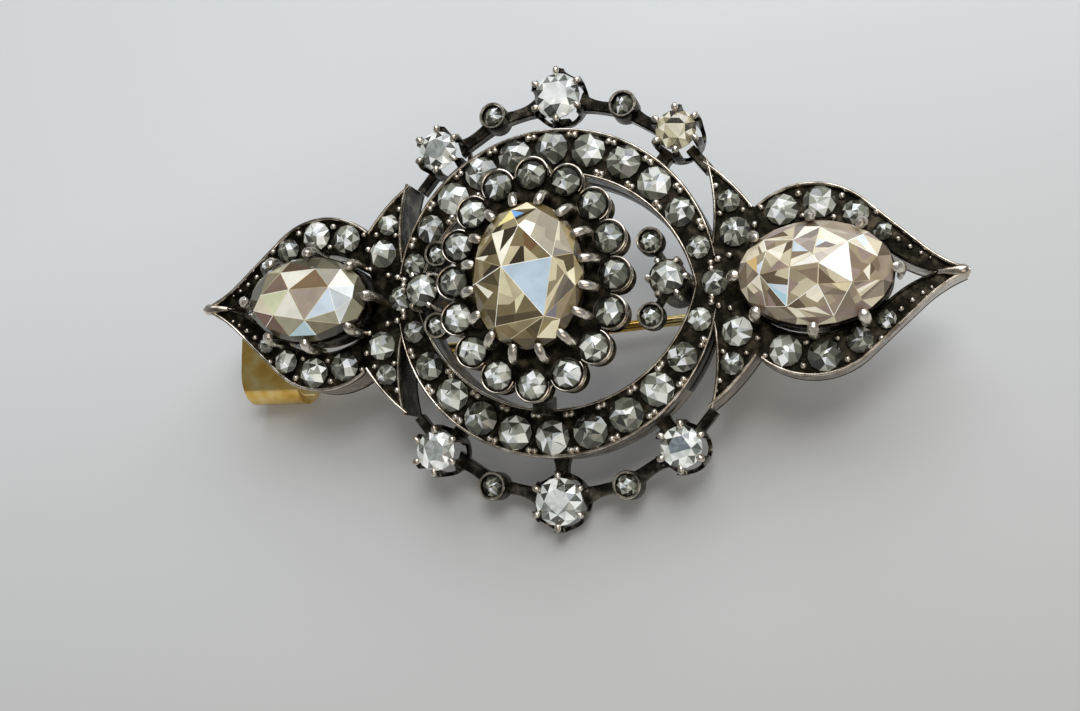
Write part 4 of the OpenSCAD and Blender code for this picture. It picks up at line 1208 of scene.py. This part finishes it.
BAR_LOW, BAR_HIGH = -3.4, -2.5
for up in (1, -1):
    mid = Vector((0, up * ARC_MID[1]))
    arc_parts.append(bar("foot_bar", mid - Vector((0, up * 1.5)), mid - Vector((0, up * 2)),
                         (0, up * 11.1), 0.75, 0.45, BAR_LOW, BAR_HIGH))
    for side in (1, -1):
        small = Vector((side * ARC_TUBE[0], up * ARC_TUBE[1]))
        end = Vector((side * ARC_END[0], up * ARC_END[1]))
        arc_parts.append(tube("arc_tube", small.x, small.y, ARC_TUBE[3], BAR_LOW, ARC_TUBE[2], -1.5, 0.22))
        near = mid + (small - mid).normalized() * 1.5
        arc_parts.append(bar("mid_bar", near, (near + small) / 2 - Vector((0, up * 0.25)), small, 0.75, 0.4, BAR_LOW, BAR_HIGH))
        arc_parts.append(bar("end_bar", small, (small + end) / 2 - Vector((side * 0.2, up * 0.25)),
                             end + (small - end).normalized() * 1.2, 0.7, 0.42, BAR_LOW, BAR_HIGH))
        arc_parts.append(bar("ring_bar", end - end.normalized() * 1.2, end - end.normalized() * 1.8,
                             end.normalized() * 11, 0.8, 0.5, BAR_LOW, BAR_HIGH))
        leaf = Vector((side * LEAF_TIP[0], up * LEAF_TIP[1]))
        arc_parts.append(bar("leaf_bar", end + (leaf - end).normalized() * 1.1, (end + leaf) / 2, leaf, 0.36, 0.36, BAR_LOW, BAR_HIGH))

# %% [markdown]
# ## Trefoils
# Inside the ring, on each side of the cluster, three small stones stand as a trefoil: one in claws on a stout
# tube, two in small tube settings soldered to it.

# %% Trefoils
TREFOIL_X, TREFOIL_SEAT, TREFOIL_R = 8.43, 2.3, 1.1
SMALL_X, SMALL_Y = 7.33, 2.45
trefoil_claw = peg("trefoil_claw", [(0.24, 0.9, 0.15, 0.13), (0.25, 1.9, 0.17, 0.15), (0.22, 2.6, 0.19, 0.17),
                                    (0.1, 2.86, 0.19, 0.15), (-0.04, 2.9, 0.1, 0.08)], claw_silver)
trefoil_claw_box = shape_box("trefoil_claws", [trefoil_claw])
for side in (1, -1):
    arc_parts.append(lifted(lathe("trefoil_tube", [(1.25, TREFOIL_SEAT), (1.22, 1.6), (1.1, 0.2), (1.25, -1.5),
                                                   (1.25, -2.6), (0.8, -2.6), (0.8, TREFOIL_SEAT)],
                                  dark_silver), side * TREFOIL_X, 0, 0))
    places = []
    for k in range(6):
        t = math.radians(60 * k)
        places.append(((side * TREFOIL_X + TREFOIL_R * math.cos(t), TREFOIL_R * math.sin(t), 0), (0, 0, t),
                       (1, 1, 1), 0))
    arc_parts.append(scatter("trefoil_claws", trefoil_claw_box, places))
    arc_parts.append(box_mesh("trefoil_foot", (min(side * 8.9, side * 10.2), -0.5, -2.6),
                              (max(side * 8.9, side * 10.2), 0.5, -0.6), dark_silver))
    for up in (1, -1):
        arc_parts.append(tube("trefoil_side_tube", side * SMALL_X, up * SMALL_Y, 0.9, 1.5, TREFOIL_SEAT - 0.05, 2.7, 0.2))
        arc_parts.append(bar("trefoil_bar", (side * SMALL_X, up * SMALL_Y), (side * 7.9, up * 1.5),
                             (side * TREFOIL_X, up * 0.6), 0.35, 0.25, 1.6, 2.2))
fine_lines = []
for up in (1, -1):
    for side in (1, -1):
        arc_rim = arc((side * ARC_TUBE[0], up * ARC_TUBE[1]), 0.88, 0, 360, 32)
        fine_lines.append((raised(spaced(arc_rim), -1.5), True, [1.4]))
        small_rim = arc((side * SMALL_X, up * SMALL_Y), 0.8, 0, 360, 28)
        fine_lines.append((raised(spaced(small_rim), 2.7), True, [1.1]))
arc_parts.append(wires("fine_rims", fine_lines, 0.14, 0.14, rubbed_silver, 6))
piece("arc_and_trefoil_settings", arc_parts, ["silver_frame"])

# %% [markdown]
# ## Stones of the arcs and trefoils
# The larger ones are cut deep below the girdle and stand in their open collets. The small ones are roses.

# %% Single stones
# Tints of painted reflections for the arc stones, mixed with their own clear or creamy colour. Each large arc stone
# also gets one painted reflection on its top facet.
CLEAR_TINTS = [("#fafbf8", 6), ("#dde2dc", 4), ("#a2a89e", 3), ("#5e645a", 2), ("#20231d", 2)]
CREAM_TINTS = [("#fbf7e4", 3), ("#dfd7b4", 4), ("#b3a985", 3), ("#70694f", 3), ("#353126", 2)]


def round_stone(node, x, y, r, level, seed, tints, table):
    bm = ringed(DEEP_ROUND, 0.04, seed, turn=seed)
    paint(bm, random.Random(seed), tints, [(0, 0, table)])
    mesh = finished(bm, node + "_mesh", open_diamond)
    mesh.transform(Matrix.Scale(r, 4))
    piece(node + "_cut", [lifted(mesh, x, y, level)], [node], sharp_deg=0)


def single_rose(node, x, y, r, level, kind):
    mesh = roses[kind].copy()
    mesh.transform(Matrix.Diagonal((r, r, max(r, 0.8), 1)))
    piece(node + "_cut", [lifted(mesh, x, y, level + SEAT_GAP)], [node], sharp_deg=0)


for row, up, table_reflections in (("top", 1, ("#a9b0ab", "#f4f7f5", "#f1ecd2")), ("bottom", -1, ("#b3bab6", "#e3e7e4", "#7d8b94"))):
    round_stone(f"{row}_arc_stone_1", -ARC_END[0], up * ARC_END[1], ARC_END[3], ARC_END[2], 21 + up, CLEAR_TINTS,
                table_reflections[0])
    single_rose(f"{row}_arc_stone_2", -ARC_TUBE[0], up * ARC_TUBE[1], 0.73, ARC_TUBE[2], 8 + up)
    round_stone(f"{row}_arc_stone_3", 0, up * ARC_MID[1], ARC_MID[3], ARC_MID[2], 23 + up, CLEAR_TINTS, table_reflections[1])
    single_rose(f"{row}_arc_stone_4", ARC_TUBE[0], up * ARC_TUBE[1], 0.73, ARC_TUBE[2], 3 + up)
    round_stone(f"{row}_arc_stone_5", ARC_END[0], up * ARC_END[1], ARC_END[3], ARC_END[2], 26 + up,
                CREAM_TINTS if up > 0 else CLEAR_TINTS, table_reflections[2])
for name, side in (("left", -1), ("right", 1)):
    single_rose(f"{name}_trefoil_stone_middle", side * TREFOIL_X, 0, TREFOIL_R, TREFOIL_SEAT, 5)
    for where, up in (("upper", 1), ("lower", -1)):
        single_rose(f"{name}_trefoil_stone_{where}", side * SMALL_X, up * SMALL_Y, 0.63, TREFOIL_SEAT - 0.05, 2)

# %% [markdown]
# ## Grains
# Small stones are held by grains: beads of silver raised from the bed with a graver and rounded. They stand in
# pairs at the inner and outer edge between two stones, and three of falling size run towards each tip.

# %% Grains between the stones
grain_chance = random.Random(17)
grain_places = []


def grain(x, y, level, r):
    turn = grain_chance.uniform(0, 6.28)
    grain_places.append(((x, y, level), (0, 0, turn), (r * grain_chance.uniform(0.95, 1.3), r * 1.12, r * 1.3), 0))


def hole_reach(t):
    """Distance from the middle to the edge of the ring's opening in a direction."""
    s = abs(math.sin(t))
    return -HOLE_C * s + math.sqrt(HOLE_R ** 2 - (HOLE_C * math.cos(t)) ** 2)


for up in (1, -1):
    for side in (1, -1):
        for step in range(6):
            t = math.radians(90 - RING_PITCH * (step + 0.5))
            for off in (-0.019, 0.019):
                r = RING_R - 0.46
                grain(side * r * math.cos(t + off), up * r * math.sin(t + off), BED + 0.12, 0.24)
            r = hole_reach(t) + 0.48
            if r < 9.4:
                for off in (-0.022, 0.022):
                    grain(side * r * math.cos(t + off), up * r * math.sin(t + off), BED + 0.12, 0.24)
        grain(side * 11.35, up * 1.55, BED + 0.1, 0.24)
        grain(side * 12.1, up * 1.75, BED + 0.08, 0.22)
        grain(side * 11.55, up * 4.6, BED + 0.1, 0.2)
        grain(side * 13.05, up * 4.75, BED + 0.06, 0.2)
        grain(side * 11.3, up * 6.5, BED + 0.1, 0.2)
        grain(side * 11.05, up * 7.15, BED + 0.08, 0.14)
        grain(side * 13.75, up * 3.75, DROP_BED + 0.25, 0.24)
        grain(side * 13.6, up * 2.3, DROP_BED + 0.2, 0.22)
        for (x0, y0, r0), (x1, y1, r1) in zip(drop_table, drop_table[1:]):
            x, y = (x0 + x1) / 2, (y0 + y1) / 2
            nx, ny = y0 - y1 + 1e-3, x1 - x0
            n = math.hypot(nx, ny)
            out = 0.62 + 0.2 * (r0 + r1) / 2
            for way, size in ((out, 0.24), (-out * 0.85, 0.21)):
                grain(side * (x + way * nx / n), up * (y + way * ny / n), DROP_BED + 0.1, size)
        grain(side * 14.2, up * 4.9, DROP_BED + 0.1, 0.2)
        for x, y, size in ((22.75, 2.25, 0.2), (23.45, 1.72, 0.18), (24.1, 1.28, 0.14), (24.65, 0.95, 0.1)):
            grain(side * x, up * y, DROP_BED + 0.1, size)
grains = scatter("grains", bead_box, grain_places)
piece("silver_grains", [grains], ["silver_frame"], sharp_deg=75)
print("grains:", len(grain_places))

# %% [markdown]
# ## Gold fittings
# The gold pieces keep the shape of the measured model. A copy is merged from loose triangles, flat faces are
# joined, and a small bevel gives its edges the worn line that catches the light.

# %% Softened copies of the gold pieces
def softened(node, body, width):
    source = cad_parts[node]
    bm = bmesh.new()
    bm.from_mesh(source.data)
    bm.transform(source.matrix_world)
    bmesh.ops.remove_doubles(bm, verts=bm.verts, dist=2e-7)
    bmesh.ops.dissolve_limit(bm, angle_limit=math.radians(0.5), verts=bm.verts, edges=bm.edges)
    mesh = bpy.data.meshes.new(node + "_gold")
    bm.to_mesh(mesh)
    bm.free()
    mesh.materials.append(gold)
    mesh.polygons.foreach_set("use_smooth", [True] * len(mesh.polygons))
    mesh.set_sharp_from_angle(angle=math.radians(35))
    thing = bpy.data.objects.new(node + "_gold", mesh)
    bpy.context.scene.collection.objects.link(thing)
    soft = thing.modifiers.new("worn edges", "BEVEL")
    soft.width = width / MM
    soft.segments = 2
    soft.limit_method = "ANGLE"
    soft.angle_limit = math.radians(35)
    soft.harden_normals = True
    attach(thing, body)
    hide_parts(node)
    print(thing.name, "faces:", len(mesh.polygons))
    return thing


for node, body, width in (("hinge_plate", "brooch", 0.08), ("hinge_rivet", "brooch", 0.04),
                          ("catch", "brooch", 0.07), ("pin_stem", "pin", 0.04)):
    softened(node, body, width)

# %% [markdown]
# ## Floor, light and camera
# The brooch was photographed on a pale board by a large window. A wide soft light above and behind gives the
# blue-white glints, a weaker one fills from the front, and the ground is a pale grey with painted shade towards
# the front and the right and a faint painted glow that lifts its shadows.

# %% The floor
FLOOR_SIZE = 2.0
floor_mesh = bpy.data.meshes.new("floor")
h = FLOOR_SIZE / 2
floor_mesh.from_pydata([(-h, -h, 0), (h, -h, 0), (h, h, 0), (-h, h, 0)], [], [(0, 1, 2, 3)])
floor = bpy.data.objects.new("floor", floor_mesh)
bpy.context.scene.collection.objects.link(floor)
floor_material, floor_tree, floor_shader = new_material("pale_painted_board", Roughness=0.7)
floor_place = add(floor_tree, "ShaderNodeTexCoord").outputs["Object"]
floor_cloud = add(floor_tree, "ShaderNodeTexNoise", {"Vector": floor_place, "Scale": 12.0, "Detail": 2.0})
# Painted shade: the board's colour darkens towards the front and the right, on top of a faint random cloud.
floor_ways = add(floor_tree, "ShaderNodeSeparateXYZ", {"Vector": floor_place})
floor_slant = add(floor_tree, "ShaderNodeMath", {0: floor_ways.outputs["X"], 1: -0.3, 2: floor_ways.outputs["Y"]},
                  operation="MULTIPLY_ADD")
floor_painted_shade = add(floor_tree, "ShaderNodeMapRange", {"Value": floor_slant.outputs["Value"], "From Min": -0.035,
                                                   "From Max": 0.03, "To Min": -0.1, "To Max": 0.9})
floor_mix = add(floor_tree, "ShaderNodeMath", {0: floor_cloud.outputs["Fac"], 1: 0.2,
                                               2: floor_painted_shade.outputs["Result"]}, operation="MULTIPLY_ADD")
floor_tint = ramp(floor_tree, floor_mix.outputs["Value"], [(0.0, "#b6b5b1"), (1.0, "#d3d5d4")])
floor_tree.links.new(floor_tint, floor_shader.inputs["Base Color"])
# Painted light: the board glows faintly in its own colour, which lifts the shadow under the brooch.
floor_tree.links.new(floor_tint, floor_shader.inputs["Emission Color"])
floor_shader.inputs["Emission Strength"].default_value = 0.09
floor_mesh.materials.append(floor_material)

# %% Lights
def soft_light(name, size, power, place, aim, tint):
    data = bpy.data.lights.new(name, "AREA")
    data.shape = "RECTANGLE"
    data.size, data.size_y = size
    data.energy = power
    data.color = colour(tint)[:3]
    lamp = bpy.data.objects.new(name, data)
    bpy.context.scene.collection.objects.link(lamp)
    lamp.location = place
    lamp.rotation_euler = (Vector(aim) - Vector(place)).to_track_quat("-Z", "Y").to_euler()
    return lamp


soft_light("window_light", (0.6, 0.4), 2.0, (0.1, 0.28, 0.4), (0, 0, 0.008), "#f3f7ff")
soft_light("front_fill", (0.4, 0.3), 0.45, (0.25, -0.35, 0.35), (0, 0, 0.008), "#fff3e4")
soft_light("top_card", (0.12, 0.12), 0.3, (0.06, 0.02, 0.35), (0, 0, 0.008), "#ffffff")
world = bpy.data.worlds.new("studio")
world.use_nodes = True
world.node_tree.nodes["Background"].inputs["Color"].default_value = colour("#c4c6c8")
world.node_tree.nodes["Background"].inputs["Strength"].default_value = 0.35
bpy.context.scene.world = world

# %% The camera
TURN = Matrix(((0.9613, 0.0360, 0.2731), (-0.0031, 0.9928, -0.1197), (-0.2755, 0.1143, 0.9545)))
PLACE = Vector((21.36, -14.16, 77.46))
PIXELS_WIDE, FOCAL_PIXELS, SENSOR = 1080, 1195.94, 36.0
camera_data = bpy.data.cameras.new("camera")
camera_data.sensor_width = SENSOR
camera_data.lens = FOCAL_PIXELS * SENSOR / PIXELS_WIDE
camera_data.clip_start = 0.001
camera = bpy.data.objects.new("camera", camera_data)
bpy.context.scene.collection.objects.link(camera)
spot = FACE @ PLACE
camera.matrix_world = Matrix.Translation(spot) @ (Matrix.Rotation(LEAN, 3, "X") @ TURN).to_4x4()
bpy.context.scene.camera = camera
bpy.context.scene.view_settings.view_transform = "Standard"
print("camera, mm:", [round(1000 * v, 1) for v in spot])
